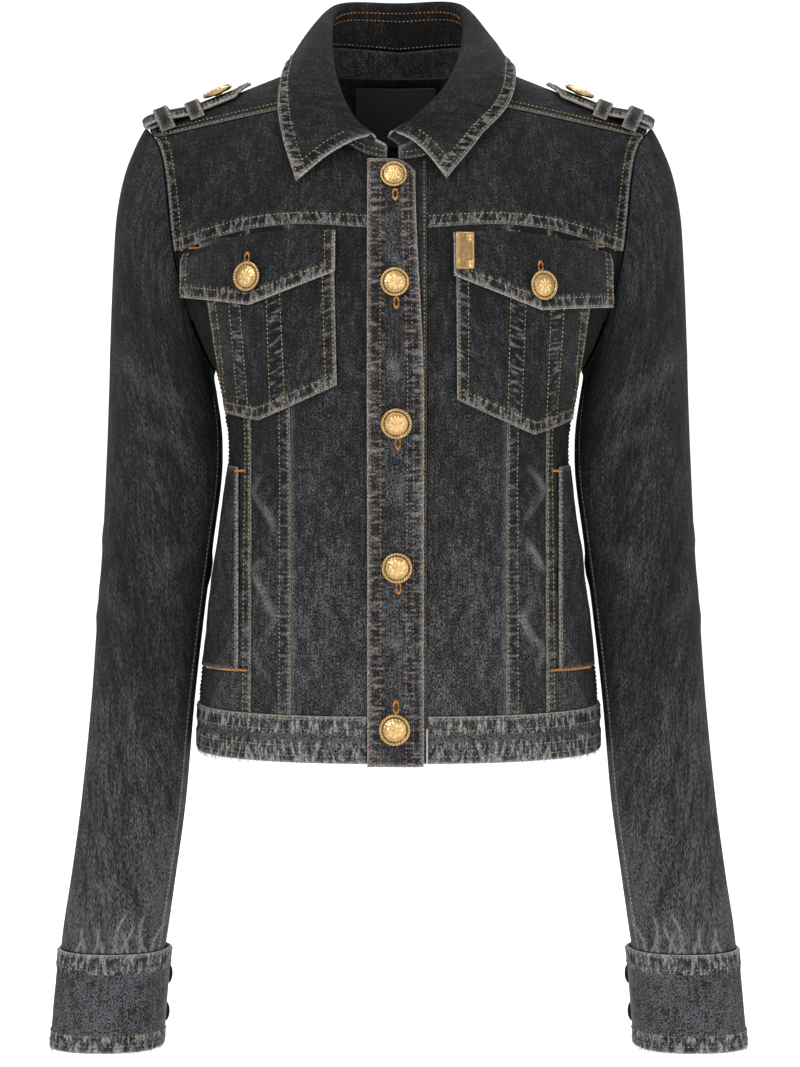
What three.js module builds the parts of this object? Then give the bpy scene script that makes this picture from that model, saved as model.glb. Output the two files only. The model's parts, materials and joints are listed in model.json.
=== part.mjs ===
// A short denim jacket, hollow and filled out as if worn, with its sleeves hanging at its sides.
// Millimetres, +Z up, the front faces -Y. The origin lies midway between the shoulder-neck points.
import * as THREE from "three";

// Driving sizes

const CLOTH = 1.6;
const DOUBLED = 2.4;
const WOVEN_LABEL = 1.0;
const SEAM_GAP = 0.4;
const LAY_GAP = 0.7;
const NECK_GAP = 4;
const NECK_GAP_BACK = 0.7;
const STAND_GAP = 1.9;
const STAND_INSET = 0.97;

const BUST_Z = -212;
const WAISTBAND_TOP = -449;
const HEM_Z = -482;
const BACK_YOKE_SEAM_Z = -96;

const NECK_HALF = 66;
const NECK_POINT_Z = 6;
const NECK_TOP_Z = 10;
const FRONT_NECK_DROP = 0.33;
const BACK_NECK_DROP = 0.036;

const SHOULDER_X = 178;
const SHOULDER_Y = 5;
const SHOULDER_Z = -38;
const ARMHOLE_HALF = 54;
const ARMHOLE_ROUNDNESS = 2.3;
const ARMHOLE_EASE = 2.5;
const BODY_ROUNDNESS = 2.4;
const FRONT_FULLNESS = 2;
const BACK_FULLNESS = { centre: 4.2, side: 2, reach: 0.6 };

const PRINCESS_X = 78;
const SIDE_FRONT_X = 107;
const BACK_SEAM_X = 72;
const PLACKET = { left: -21.5, right: 17.3, topRight: 11.5, top: -64.2, bottom: -484 };
const UNDERLAP = { left: -17.6, right: 19.6, top: -64.2 };
const PANEL_EDGE = { left: 18, right: 20 };
const SLANT = { from: -4, drop: 9 };

// Colours of the finishes

const COLOURS = {
  denim: { color: 0x26282c, roughness: 0.92, metalness: 0 },
  label: { color: 0x0c0c0d, roughness: 0.8, metalness: 0 },
  gold: { color: 0xb08d4a, roughness: 0.35, metalness: 1 },
};

// Body sections, from the hem up to the underarm

const BODY = [
  { z: -500, half: 144, front: 107, back: 103 },
  { z: -446, half: 143, front: 105, back: 101 },
  { z: -412, half: 139.5, front: 101, back: 98 },
  { z: -346, half: 131.5, front: 97, back: 91 },
  { z: -300, half: 124.5, front: 102, back: 91 },
  { z: -270, half: 121.5, front: 109, back: 94 },
  { z: -240, half: 124, front: 115, back: 99 },
  { z: -212, half: 130, front: 118, back: 104 },
];

// The armhole's distance from the centre, from the underarm, 0, to the shoulder point, 1

const ARMHOLE = [
  { height: 0, x: 130 },
  { height: 0.1, x: 138 },
  { height: 0.25, x: 147 },
  { height: 0.5, x: 156.5 },
  { height: 0.8, x: 162.5 },
  { height: 0.92, x: 168 },
  { height: 1, x: 178 },
];

const CHEST_SEAM = [
  { x: 0, z: -112 },
  { x: 23, z: -111 },
  { x: 56, z: -109 },
  { x: 76, z: -109 },
  { x: 104, z: -112 },
  { x: 128, z: -118 },
  { x: 150, z: -125 },
  { x: 180, z: -134 },
];

// Sleeve rings, from the armhole to the cuff: the outermost and innermost points of each ring

const SLEEVE = [
  { outX: 181.2, outZ: -38, inX: 131.2, inZ: -212, half: 54, midY: 2 },
  { outX: 188, outZ: -51, inX: 132.4, inZ: -215, half: 57, midY: 2 },
  { outX: 196, outZ: -72, inX: 132.2, inZ: -220, half: 58, midY: 2 },
  { outX: 201.5, outZ: -100, inX: 131, inZ: -227, half: 57.5, midY: 2 },
  { outX: 204, outZ: -135, inX: 129.6, inZ: -236, half: 57, midY: 1 },
  { outX: 206, outZ: -178, inX: 127.8, inZ: -248, half: 56, midY: 1 },
  { outX: 207.5, outZ: -225, inX: 126.6, inZ: -265, half: 55, midY: 0 },
  { outX: 209.5, outZ: -275, inX: 127.5, inZ: -292, half: 54, midY: -1 },
  { outX: 212.5, outZ: -335, inX: 134, inZ: -340, half: 51, midY: -3 },
  { outX: 217, outZ: -395, inX: 141, inZ: -396, half: 48.5, midY: -5 },
  { outX: 221, outZ: -450, inX: 147, inZ: -450, half: 46, midY: -8 },
  { outX: 228, outZ: -520, inX: 153, inZ: -520, half: 42, midY: -14 },
  { outX: 235, outZ: -572, inX: 160, inZ: -572, half: 38, midY: -18 },
  { outX: 240, outZ: -604, inX: 164.5, inZ: -604, half: 35, midY: -21 },
  { outX: 242.5, outZ: -624, inX: 167.5, inZ: -624, half: 34, midY: -22 },
];

const CUFF = { topZ: -624.6, bottomZ: -695, topOut: 243.5, topIn: 167, bottomOut: 250, bottomIn: 172.5 };
const CUFF_DEPTH = { top: 35, bottom: 32.5, topY: -22, bottomY: -27, thickness: 2.6, overlap: 26 };
const CUFF_BUTTONS = [-647, -674];
const SLEEVE_SEAMS = { frontTop: 166, frontCuff: 154, back: 238 };

// Collar sections, from the front end, 0, to the centre back, 1: seam with the stand, fold and outer edge.
// out is the distance from the centre on that side; a rest lays the edge that far above the body.

const COLLAR_LEFT = [
  {
    place: 0, seamOut: 8, seamY: -88, seamZ: -54,
    foldOut: 19, foldY: -92, foldZ: -47, edgeOut: 69.5, edgeLean: -52,
  },
  {
    place: 0.25, seamOut: 38, seamY: -77, seamZ: -38,
    foldOut: 34, foldY: -84, foldZ: -32, edgeOut: 79, edgeLean: -39.6,
  },
  {
    place: 0.45, seamOut: 55, seamY: -55, seamZ: -13,
    foldOut: 46, foldY: -60, foldZ: -5, edgeOut: 83, edgeLean: -25.4,
  },
  {
    place: 0.62, seamOut: 60, seamY: 2, seamZ: 18,
    foldOut: 50.5, foldY: -10, foldZ: 27, edgeOut: 79, edgeLean: -6,
  },
  {
    place: 0.8, seamOut: 44, seamY: 50, seamZ: 23,
    foldOut: 45, foldY: 43, foldZ: 53, edgeOut: 71, edgeLean: 22,
  },
  {
    place: 1, seamOut: 0, seamY: 69, seamZ: 21,
    foldOut: 0, foldY: 64, foldZ: 56, edgeOut: 0, edgeLean: 29,
  },
];
const COLLAR_RIGHT = [
  {
    place: 0, seamOut: 0, seamY: -89, seamZ: -54,
    foldOut: -3.6, foldY: -93, foldZ: -45, edgeOut: 33, edgeLean: -53,
  },
  {
    place: 0.25, seamOut: 28, seamY: -80, seamZ: -41,
    foldOut: 16, foldY: -88, foldZ: -31, edgeOut: 56, edgeLean: -42.3,
  },
  {
    place: 0.45, seamOut: 53, seamY: -56, seamZ: -14,
    foldOut: 36, foldY: -66, foldZ: -9, edgeOut: 77, edgeLean: -27.4,
  },
  {
    place: 0.62, seamOut: 60, seamY: 2, seamZ: 18,
    foldOut: 48, foldY: -12, foldZ: 22, edgeOut: 81, edgeLean: -5,
  },
  {
    place: 0.8, seamOut: 44, seamY: 50, seamZ: 23,
    foldOut: 45, foldY: 43, foldZ: 53, edgeOut: 71, edgeLean: 22,
  },
  {
    place: 1, seamOut: 0, seamY: 69, seamZ: 21,
    foldOut: 0, foldY: 64, foldZ: 56, edgeOut: 0, edgeLean: 29,
  },
];
const COLLAR_THICKNESS = 2;
const COLLAR_FOLD_RADIUS = 4;
const COLLAR_FOLD_END = 135;
const COLLAR_ROWS = { stand: 2 / 12, fold: 6 / 12 };
const COLLAR_BULGE = 5;
const COLLAR_REST = 6;

// Chest pockets and flaps: corners as distance from the centre and height, on each side

const POCKETS = {
  left: {
    innerTop: 44.6, innerBottom: 42, outerTop: 138, outerBottom: 119,
    topZ: -118, innerZ: -219, pointX: 96, pointZ: -244, outerZ: -240,
  },
  right: {
    innerTop: 39.4, innerBottom: 40, outerTop: 138, outerBottom: 120,
    topZ: -120, innerZ: -229, pointX: 93, pointZ: -254, outerZ: -245,
  },
};
const FLAPS = {
  left: { inner: 43, outer: 149, drop: 4, innerZ: -142, pointX: 101, pointZ: -164.5, outerZ: -158 },
  right: { inner: 37.5, outer: 146, drop: 5, innerZ: -145, pointX: 96.5, pointZ: -168, outerZ: -165 },
};
const POCKET_THICKNESS = 1.8;
const POCKET_SIDE_GAP = 0.9;
const METAL_TAB = { left: 38.6, right: 51, top: -116, bottom: -141, thickness: 1 };
const LABEL = { left: -33, right: 28, topBelowNeck: 3, height: 44 };
const WELT = { inner: 111.5, outerAngle: 0.22, top: -278, bottom: -421 };

// Shoulder straps, measured along the shoulder from the centre and across it, + to the back

const STRAP = {
  tip: 104, shoulderWidth: 117, roll: 183, under: 163, front: -24, back: 15,
  thickness: 2, clear: 1.8, straightFrom: 148, radius: 104,
};
const STRAP_RISE = 3.2;
const KEEPER_FOOT = 1.2;
const KEEPERS = [{ along: 146, width: 10 }, { along: 167, width: 10 }];

const FRONT_BUTTONS = [
  { x: -3.3, z: -76.5, radius: 9.5 },
  { x: -2.5, z: -149.5, radius: 10.1 },
  { x: -1.5, z: -244.5, radius: 10.8 },
  { x: -1.1, z: -346, radius: 10.8 },
  { x: -2.7, z: -458, radius: 11 },
];
const POCKET_BUTTON = { left: { x: 101, z: -145.5 }, right: { x: 96.5, z: -151.5 }, radius: 10.4 };
const STRAP_BUTTON = { along: 127, across: -8, radius: 11 };
const CUFF_BUTTON_RADIUS = 7.5;
const BUTTON_SIDES = 12;

// Small tools of the trade

const RIGHT_ANGLE = Math.PI / 2;
const mix = (from, to, share) => from + (to - from) * share;
const clamp = (value) => Math.min(1, Math.max(0, value));
const ease = (share) => clamp(share) ** 2 * (3 - 2 * clamp(share));
const degrees = (angle) => (angle * Math.PI) / 180;
const rounded = (value, power) => Math.sign(value) * Math.abs(value) ** power;
const point = (x, y, z) => new THREE.Vector3(x, y, z);

// A smooth curve through one column of a table, by another column that rises
function curve(table, by, column) {
  const at = table.map((row) => row[by]);
  const value = table.map((row) => row[column]);
  const last = at.length - 1;
  const slope = at.map((_, i) => {
    const before = Math.max(0, i - 1);
    const after = Math.min(last, i + 1);
    return (value[after] - value[before]) / (at[after] - at[before]);
  });
  return (where) => {
    const inside = Math.min(at[last], Math.max(at[0], where));
    let i = 0;
    while (i < last - 1 && at[i + 1] < inside) i += 1;
    const span = at[i + 1] - at[i];
    const s = (inside - at[i]) / span;
    const [s2, s3] = [s * s, s * s * s];
    return (2 * s3 - 3 * s2 + 1) * value[i] + (s3 - 2 * s2 + s) * span * slope[i]
      + (3 * s2 - 2 * s3) * value[i + 1] + (s3 - s2) * span * slope[i + 1];
  };
}

// The body's surface: t turns from the side, 0, to the centre, 90 degrees, and face is -1 in front

const halfWidth = curve(BODY, "z", "half");
const frontDepth = curve(BODY, "z", "front");
const backDepth = curve(BODY, "z", "back");
const armholeX = curve(ARMHOLE, "height", "x");
const chestSeamZ = curve(CHEST_SEAM, "x", "z");
const depthOf = (face, z) => (face < 0 ? frontDepth(z) : backDepth(z));

function section(t) {
  const power = 2 / BODY_ROUNDNESS;
  return { across: clamp(Math.cos(t)) ** power, forward: clamp(Math.sin(t)) ** power };
}

function shoulderLineZ(across) {
  const x = across * SHOULDER_X;
  const slope = (SHOULDER_Z - NECK_POINT_Z) / (SHOULDER_X - NECK_HALF);
  if (x > NECK_HALF) return NECK_POINT_Z + slope * (x - NECK_HALF);
  return mix(NECK_TOP_Z, NECK_POINT_Z, (x / NECK_HALF) ** 2);
}

function fullness(face, across) {
  if (face < 0) return FRONT_FULLNESS;
  return mix(BACK_FULLNESS.centre, BACK_FULLNESS.side, ease(across / BACK_FULLNESS.reach));
}

const heightAt = (across, z) => clamp((z - BUST_Z) / (shoulderLineZ(across) - BUST_Z));

function armholeDepth(height) {
  return ARMHOLE_HALF * clamp(1 - Math.abs(2 * height - 1) ** ARMHOLE_ROUNDNESS) ** (1 / ARMHOLE_ROUNDNESS);
}

function upperPoint(face, t, height) {
  const { across, forward } = section(t);
  const full = fullness(face, across);
  const lean = clamp(1 - height ** full) ** (1 / full);
  const byArmhole = (1 - forward) ** ARMHOLE_EASE;
  const depth = forward * depthOf(face, BUST_Z) * lean + byArmhole * armholeDepth(height);
  const z = mix(BUST_Z, shoulderLineZ(across), height);
  return point(across * armholeX(height), face * depth + SHOULDER_Y * height, z);
}

function bodyPoint(face, t, z) {
  const { across, forward } = section(t);
  if (z > BUST_Z) return upperPoint(face, t, heightAt(across, z));
  return point(halfWidth(z) * across, face * depthOf(face, z) * forward, z);
}

function angleAt(x, z) {
  let across = clamp(x / SHOULDER_X);
  for (let pass = 0; pass < 8; pass += 1) {
    const reach = z > BUST_Z ? armholeX(heightAt(across, z)) : halfWidth(z);
    across = clamp(x / reach);
  }
  return Math.acos(clamp(across ** (BODY_ROUNDNESS / 2)));
}

const mirrored = (side, place) => place.setX(place.x * side);

// A place on the front or back, by its signed distance from the centre and its height
function spot(face, x, z) {
  return mirrored(Math.sign(x) || 1, bodyPoint(face, angleAt(Math.abs(x), z), z));
}

// Cloth walls

const bodyCore = (place) => point(0, 0, Math.min(place.z, -70) - 20);

function normalOf(surface, c, r) {
  const step = 1e-3;
  const c0 = Math.max(0, c - step);
  const c1 = Math.min(1, c + step);
  const r0 = Math.max(0, r - step);
  const r1 = Math.min(1, r + step);
  const along = surface(c1, r).sub(surface(c0, r));
  const up = surface(c, r1).sub(surface(c, r0));
  return along.cross(up).normalize();
}

// 1 or -1, so that the normal at c, r points away from the core
function facing(surface, c, r, core) {
  const outward = surface(c, r).sub(core(surface(c, r), c, r));
  return normalOf(surface, c, r).dot(outward) < 0 ? -1 : 1;
}

// A closed wall over a surface(c, r), from low to high above it and lifted further by lift(c, r)
function wall(surface, columns, rows, options) {
  const { low, high, core = bodyCore, seenAt = [0.5, 0.5], lift = () => 0 } = options;
  const sign = facing(surface, ...seenAt, core);
  const count = columns + 1;
  const places = [];
  for (let r = 0; r <= rows; r += 1) {
    for (let c = 0; c < count; c += 1) {
      const [cs, rs] = [c / columns, r / rows];
      const base = surface(cs, rs);
      const normal = normalOf(surface, cs, rs).multiplyScalar(sign);
      const rise = lift(cs, rs);
      places.push(base.clone().addScaledVector(normal, high + rise));
      places.push(base.clone().addScaledVector(normal, low + rise));
    }
  }
  const outer = (c, r) => 2 * (r * count + c);
  const inner = (c, r) => outer(c, r) + 1;
  const faces = [];
  const quad = (a, b, c, d) => faces.push(a, b, c, a, c, d);
  for (let r = 0; r < rows; r += 1) {
    for (let c = 0; c < columns; c += 1) {
      quad(outer(c, r), outer(c + 1, r), outer(c + 1, r + 1), outer(c, r + 1));
      quad(inner(c, r), inner(c, r + 1), inner(c + 1, r + 1), inner(c + 1, r));
    }
  }
  for (let c = 0; c < columns; c += 1) {
    quad(outer(c, 0), inner(c, 0), inner(c + 1, 0), outer(c + 1, 0));
    quad(outer(c, rows), outer(c + 1, rows), inner(c + 1, rows), inner(c, rows));
  }
  for (let r = 0; r < rows; r += 1) {
    quad(outer(0, r), outer(0, r + 1), inner(0, r + 1), inner(0, r));
    quad(outer(columns, r), inner(columns, r), inner(columns, r + 1), outer(columns, r + 1));
  }
  return facingOut(places, faces);
}

function facingOut(places, faces) {
  let volume = 0;
  for (let i = 0; i < faces.length; i += 3) {
    const [a, b, c] = [places[faces[i]], places[faces[i + 1]], places[faces[i + 2]]];
    volume += a.dot(b.clone().cross(c));
  }
  const ordered = [...faces];
  if (volume < 0) {
    for (let i = 0; i < ordered.length; i += 3) [ordered[i], ordered[i + 1]] = [ordered[i + 1], ordered[i]];
  }
  const geometry = new THREE.BufferGeometry();
  const numbers = places.flatMap((place) => [place.x, place.y, place.z]);
  geometry.setAttribute("position", new THREE.Float32BufferAttribute(numbers, 3));
  geometry.setIndex(ordered);
  geometry.computeVertexNormals();
  return geometry;
}

const jacket = new THREE.Group();

function add(name, geometry, finish = "denim") {
  const mesh = new THREE.Mesh(geometry, new THREE.MeshStandardMaterial(COLOURS[finish]));
  mesh.name = name;
  jacket.add(mesh);
  return mesh;
}

const SIDES = [{ side: -1, name: "left" }, { side: 1, name: "right" }];

// Rows of points lie closer together over the bust
const BUST_SHARE = { rows: 0.42, height: 0.54 };
function bustShare(r) {
  if (r < BUST_SHARE.rows) return (r / BUST_SHARE.rows) * BUST_SHARE.height;
  return mix(BUST_SHARE.height, 1, (r - BUST_SHARE.rows) / (1 - BUST_SHARE.rows));
}

// A panel of the body between two seams and two heights
function panel(face, side, { near, far, bottom, top }) {
  return (c, r) => {
    let x = mix(near(BUST_Z), Math.min(far(BUST_Z), 150), c);
    let z = BUST_Z;
    let t = 0;
    for (let pass = 0; pass < 8; pass += 1) {
      z = mix(bottom(x), top(x), r);
      t = mix(angleAt(near(z), z), angleAt(far(z), z), c);
      x = bodyPoint(face, t, z).x;
    }
    return mirrored(side, bodyPoint(face, t, z));
  };
}

const PANEL_ROWS = 15;
const closer = (surface) => (c, r) => surface(c, bustShare(r));
const SIDE_SEAM = 1000;
const still = (value) => () => value;
const half = SEAM_GAP / 2;
const SIDE_SEAM_TURN = 0.0006;

// The side seam itself, a hair away from the silhouette so that front and back stay apart
function sidePanel(face, side, edges) {
  const flat = panel(face, side, edges);
  return (c, r) => {
    const place = flat(c, r);
    if (c > 1 - SIDE_SEAM_TURN && place.z <= BUST_Z) place.y += face * half;
    return place;
  };
}

// Front seam of the shoulder and the neckline, as heights from the underarm, 0, to the shoulder line, 1

const shoulderSeamHeight = (across) => 0.811 + 0.146 * across;

function frontNeckHeight(x) {
  if (x >= NECK_HALF) return 1;
  return 1 - FRONT_NECK_DROP * Math.sqrt(1 - (x / NECK_HALF) ** 2);
}

function frontYoke(side, near) {
  return (c, r) => {
    let x = mix(near, 150, c);
    let height = 0.5;
    let t = 0;
    for (let pass = 0; pass < 8; pass += 1) {
      const across = section(t).across;
      const low = heightAt(across, chestSeamZ(x) + half);
      const high = Math.min(frontNeckHeight(x), shoulderSeamHeight(across)) - 0.002;
      height = mix(low, high, r);
      const nearAcross = clamp(near / armholeX(height));
      t = mix(Math.acos(nearAcross ** (BODY_ROUNDNESS / 2)), 0, c);
      x = upperPoint(-1, t, height).x;
    }
    return mirrored(side, upperPoint(-1, t, height));
  };
}

// The neckline from the front, 0, over the shoulder, 0.5, to the centre back, 1
function neckline(turn) {
  const face = turn < 0.5 ? -1 : 1;
  const angle = face < 0 ? RIGHT_ANGLE * (1 - 2 * turn) : RIGHT_ANGLE * (2 * turn - 1);
  const drop = face < 0 ? FRONT_NECK_DROP : BACK_NECK_DROP;
  return { face, across: (NECK_HALF * Math.cos(angle)) / SHOULDER_X, height: 1 - drop * Math.sin(angle) };
}

// Leaning angle: negative in front of the shoulder line, positive behind
function leanOf(face, across, height) {
  return face * Math.acos(clamp(height ** (fullness(face, across) / 2)));
}

function leaningPoint(across, lean) {
  const face = lean < 0 ? -1 : 1;
  const height = clamp(Math.cos(Math.abs(lean))) ** (2 / fullness(face, across));
  return upperPoint(face, Math.acos(clamp(across) ** (BODY_ROUNDNESS / 2)), height);
}

const NECK_JUNCTION_TURN = 0.335;
const SHOULDER_SHARE = 0.36;

function neckJunction() {
  let turn = NECK_JUNCTION_TURN;
  for (let pass = 0; pass < 40; pass += 1) {
    const at = neckline(turn);
    const x = at.across * SHOULDER_X;
    const across = x / armholeX(at.height);
    turn += (shoulderSeamHeight(across) - at.height) * 0.5;
  }
  return turn;
}

const JUNCTION = neckJunction();

function yokeTop(share) {
  if (share < SHOULDER_SHARE) {
    const near = (neckline(JUNCTION).across * SHOULDER_X) / armholeX(neckline(JUNCTION).height);
    const across = mix(1, near, share / SHOULDER_SHARE);
    return { across, lean: leanOf(-1, across, shoulderSeamHeight(across) + 0.004) };
  }
  const turn = mix(JUNCTION, 1, (share - SHOULDER_SHARE) / (1 - SHOULDER_SHARE));
  const at = neckline(turn);
  const across = (at.across * SHOULDER_X) / armholeX(at.height);
  return { across, lean: leanOf(at.face, across, at.height) };
}

// One half of the back yoke runs from the armhole, 0, to the centre back, 1; rows go down the back
function backYoke(c, r) {
  const side = c < 0.5 ? -1 : 1;
  const share = c < 0.5 ? 2 * c : 2 - 2 * c;
  const top = yokeTop(share);
  const bottomAcross = 1 - share;
  const seamHeight = heightAt(bottomAcross, BACK_YOKE_SEAM_Z + half);
  const bottomLean = leanOf(1, bottomAcross, seamHeight);
  const across = mix(top.across, bottomAcross, r);
  return mirrored(side, leaningPoint(across, mix(top.lean, bottomLean, r)));
}

// Collar and stand

function neckPlace(side, turn) {
  const at = neckline(turn);
  const across = (at.across * SHOULDER_X) / armholeX(at.height);
  return mirrored(side, leaningPoint(across, leanOf(at.face, across, at.height)));
}

function collarCurves(table) {
  const columns = ["seamOut", "seamY", "seamZ", "foldOut", "foldY", "foldZ", "edgeOut", "edgeLean"];
  return Object.fromEntries(columns.map((column) => [column, curve(table, "place", column)]));
}

const COLLAR_SIDES = { left: collarCurves(COLLAR_LEFT), right: collarCurves(COLLAR_RIGHT) };
// A place lifted off the body, by its distance from the centre and its lean from the shoulder line
function liftedPlace(side, out, lean, lift) {
  const face = lean < 0 ? -1 : 1;
  const across = (at) => at / armholeX(clamp(Math.cos(lean)) ** (2 / fullness(face, at / SHOULDER_X)));
  const surface = (c, r) => mirrored(side, leaningPoint(across(out + 2 * c), lean + 0.02 * (r - 0.5)));
  const outward = lift * facing(surface, 0, 0.5, bodyCore);
  return surface(0, 0.5).addScaledVector(normalOf(surface, 0, 0.5), outward);
}

// Across the collar: up the inside from the stand, over the fold, and down to the outer edge
function collarSurface(c, r) {
  const side = c < 0.5 ? -1 : 1;
  const curves = side < 0 ? COLLAR_SIDES.left : COLLAR_SIDES.right;
  const place = c < 0.5 ? 2 * c : 2 - 2 * c;
  const seam = point(side * curves.seamOut(place), curves.seamY(place), curves.seamZ(place));
  const fold = point(side * curves.foldOut(place), curves.foldY(place), curves.foldZ(place));
  const edge = liftedPlace(side, curves.edgeOut(place), degrees(curves.edgeLean(place)), COLLAR_REST);
  const outward = edge.clone().sub(seam).setZ(0).normalize();
  const centre = fold.setZ(fold.z - COLLAR_FOLD_RADIUS);
  const onFold = (turn) => centre.clone()
    .addScaledVector(outward, -COLLAR_FOLD_RADIUS * Math.cos(turn))
    .setZ(centre.z + COLLAR_FOLD_RADIUS * Math.sin(turn));
  if (r < COLLAR_ROWS.stand) return seam.lerp(onFold(0), r / COLLAR_ROWS.stand);
  const lastTurn = degrees(COLLAR_FOLD_END);
  if (r < COLLAR_ROWS.fold) {
    return onFold(lastTurn * ((r - COLLAR_ROWS.stand) / (COLLAR_ROWS.fold - COLLAR_ROWS.stand)));
  }
  const share = (r - COLLAR_ROWS.fold) / (1 - COLLAR_ROWS.fold);
  const down = onFold(lastTurn).lerp(edge, share);
  const bulge = COLLAR_BULGE * Math.sin(Math.PI * share ** 0.7);
  down.addScaledVector(outward, bulge * 0.6);
  down.z += bulge * 0.5;
  return down;
}

const collarCore = (place) => point(0, -10, place.z - 60);

function standSurface(c, r) {
  const side = c < 0.5 ? -1 : 1;
  const curves = side < 0 ? COLLAR_SIDES.left : COLLAR_SIDES.right;
  const place = c < 0.5 ? 2 * c : 2 - 2 * c;
  const frontTurn = side < 0 ? 0.04 : 0;
  const base = neckPlace(side, mix(frontTurn, 1, place ** 0.9));
  base.x *= STAND_INSET;
  const seam = point(side * curves.seamOut(place), curves.seamY(place), curves.seamZ(place));
  const rise = seam.clone().sub(base);
  const length = rise.length();
  const low = mix(NECK_GAP, NECK_GAP_BACK, ease((place - 0.7) / 0.3));
  return base.addScaledVector(rise, mix(low, length - STAND_GAP, r) / length);
}

// Sleeves: h turns from the outermost line round the front to the innermost and back

const ringIndex = SLEEVE.map((row, i) => ({ ...row, i }));
const SLEEVE_CURVES = Object.fromEntries(
  ["outX", "outZ", "inX", "inZ", "half", "midY"].map((column) => [column, curve(ringIndex, "i", column)]),
);
const SLEEVE_ROUNDNESS = 2.3;
const CAP_RINGS = 3.5;

function sleevePoint(side, ring, angle) {
  const row = Object.fromEntries(Object.entries(SLEEVE_CURVES).map(([column, of]) => [column, of(ring)]));
  const power = 2 / SLEEVE_ROUNDNESS;
  const up = rounded(Math.cos(angle), power);
  const forward = rounded(Math.sin(angle), power);
  const height = (1 + up) / 2;
  const cap = 1 - ease(ring / CAP_RINGS);
  const straight = mix(ARMHOLE[0].x, SHOULDER_X, height);
  const x = mix(row.inX, row.outX, height) + cap * (armholeX(height) - straight);
  const y = mix(row.midY, SHOULDER_Y * height, cap) - row.half * forward;
  return point(side * x, y, mix(row.inZ, row.outZ, height));
}

function sleevePiece(side, from, to) {
  return (c, r) => {
    const ring = r * (SLEEVE.length - 1);
    return sleevePoint(side, ring, mix(from(r), to(r), c));
  };
}

const sleeveCore = (side) => (place, c, r) => {
  const ring = r * (SLEEVE.length - 1);
  return sleevePoint(side, ring, 0).add(sleevePoint(side, ring, Math.PI)).multiplyScalar(0.5);
};

// The cuff goes once round and on over its own end
function cuffPoint(side, angle, r) {
  const outX = mix(CUFF.topOut, CUFF.bottomOut, r);
  const inX = mix(CUFF.topIn, CUFF.bottomIn, r);
  const power = 2 / SLEEVE_ROUNDNESS;
  const x = mix(inX, outX, (1 + rounded(Math.cos(angle), power)) / 2);
  const deep = mix(CUFF_DEPTH.top, CUFF_DEPTH.bottom, r);
  const y = mix(CUFF_DEPTH.topY, CUFF_DEPTH.bottomY, r) - deep * rounded(Math.sin(angle), power);
  return point(side * x, y, mix(CUFF.topZ, CUFF.bottomZ, r));
}

const CUFF_START = degrees(196);
const cuffCore = (side) => (place) => point(side * 208, -24, place.z);

// Build the body

for (const { side, name } of SIDES) {
  const edge = side < 0 ? PANEL_EDGE.left : PANEL_EDGE.right;
  const panelWall = { low: -CLOTH, high: 0 };
  const bottom = still(WAISTBAND_TOP + half);
  const chest = (x) => chestSeamZ(x) - half;
  add(`front_yoke_${name}`, wall(frontYoke(side, edge), 9, 6, panelWall));
  const centre = { near: still(edge), far: still(PRINCESS_X - half), bottom, top: chest };
  add(`front_centre_${name}`, wall(closer(panel(-1, side, centre)), 3, PANEL_ROWS, panelWall));
  const middle = { near: still(PRINCESS_X + half), far: still(SIDE_FRONT_X - half), bottom, top: chest };
  add(`front_middle_${name}`, wall(closer(panel(-1, side, middle)), 2, PANEL_ROWS, panelWall));
  const sideFront = { near: still(SIDE_FRONT_X + half), far: still(SIDE_SEAM), bottom, top: chest };
  add(`front_side_${name}`, wall(closer(sidePanel(-1, side, sideFront)), 7, PANEL_ROWS, panelWall));
  const backTop = still(BACK_YOKE_SEAM_Z - half);
  const backSide = { near: still(BACK_SEAM_X + half), far: still(SIDE_SEAM), bottom, top: backTop };
  add(`back_side_${name}`, wall(closer(sidePanel(1, side, backSide)), 6, PANEL_ROWS, panelWall));
}

const backCentre = (c, r) => {
  const z = mix(WAISTBAND_TOP + half, BACK_YOKE_SEAM_Z - half, r);
  return spot(1, mix(-BACK_SEAM_X + half, BACK_SEAM_X - half, c), z);
};
add("back_centre", wall(closer(backCentre), 6, PANEL_ROWS, { low: -CLOTH, high: 0 }));
add("back_yoke", wall(backYoke, 24, 7, { low: -CLOTH, high: 0 }));

// Waistband in three lengths, joined at the side seams

const bandWall = { low: -CLOTH, high: DOUBLED - CLOTH + 0.4 };
const bandEdges = { bottom: still(HEM_Z), top: still(WAISTBAND_TOP - half) };
const bandLeft = { near: still(-PLACKET.left + half), far: still(SIDE_SEAM), ...bandEdges };
const bandRight = { near: still(PANEL_EDGE.right), far: still(SIDE_SEAM), ...bandEdges };
add("waistband_left", wall(sidePanel(-1, -1, bandLeft), 9, 2, bandWall));
add("waistband_right", wall(sidePanel(-1, 1, bandRight), 9, 2, bandWall));
const bandBack = (c, r) => {
  const turn = mix(0, Math.PI, c);
  const t = turn < RIGHT_ANGLE ? turn : Math.PI - turn;
  const place = mirrored(c < 0.5 ? -1 : 1, bodyPoint(1, t, mix(HEM_Z, WAISTBAND_TOP - half, r)));
  place.y = Math.max(place.y, half);
  return place;
};
add("waistband_back", wall(bandBack, 20, 2, bandWall));

// Button band on top, underlap below it

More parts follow.
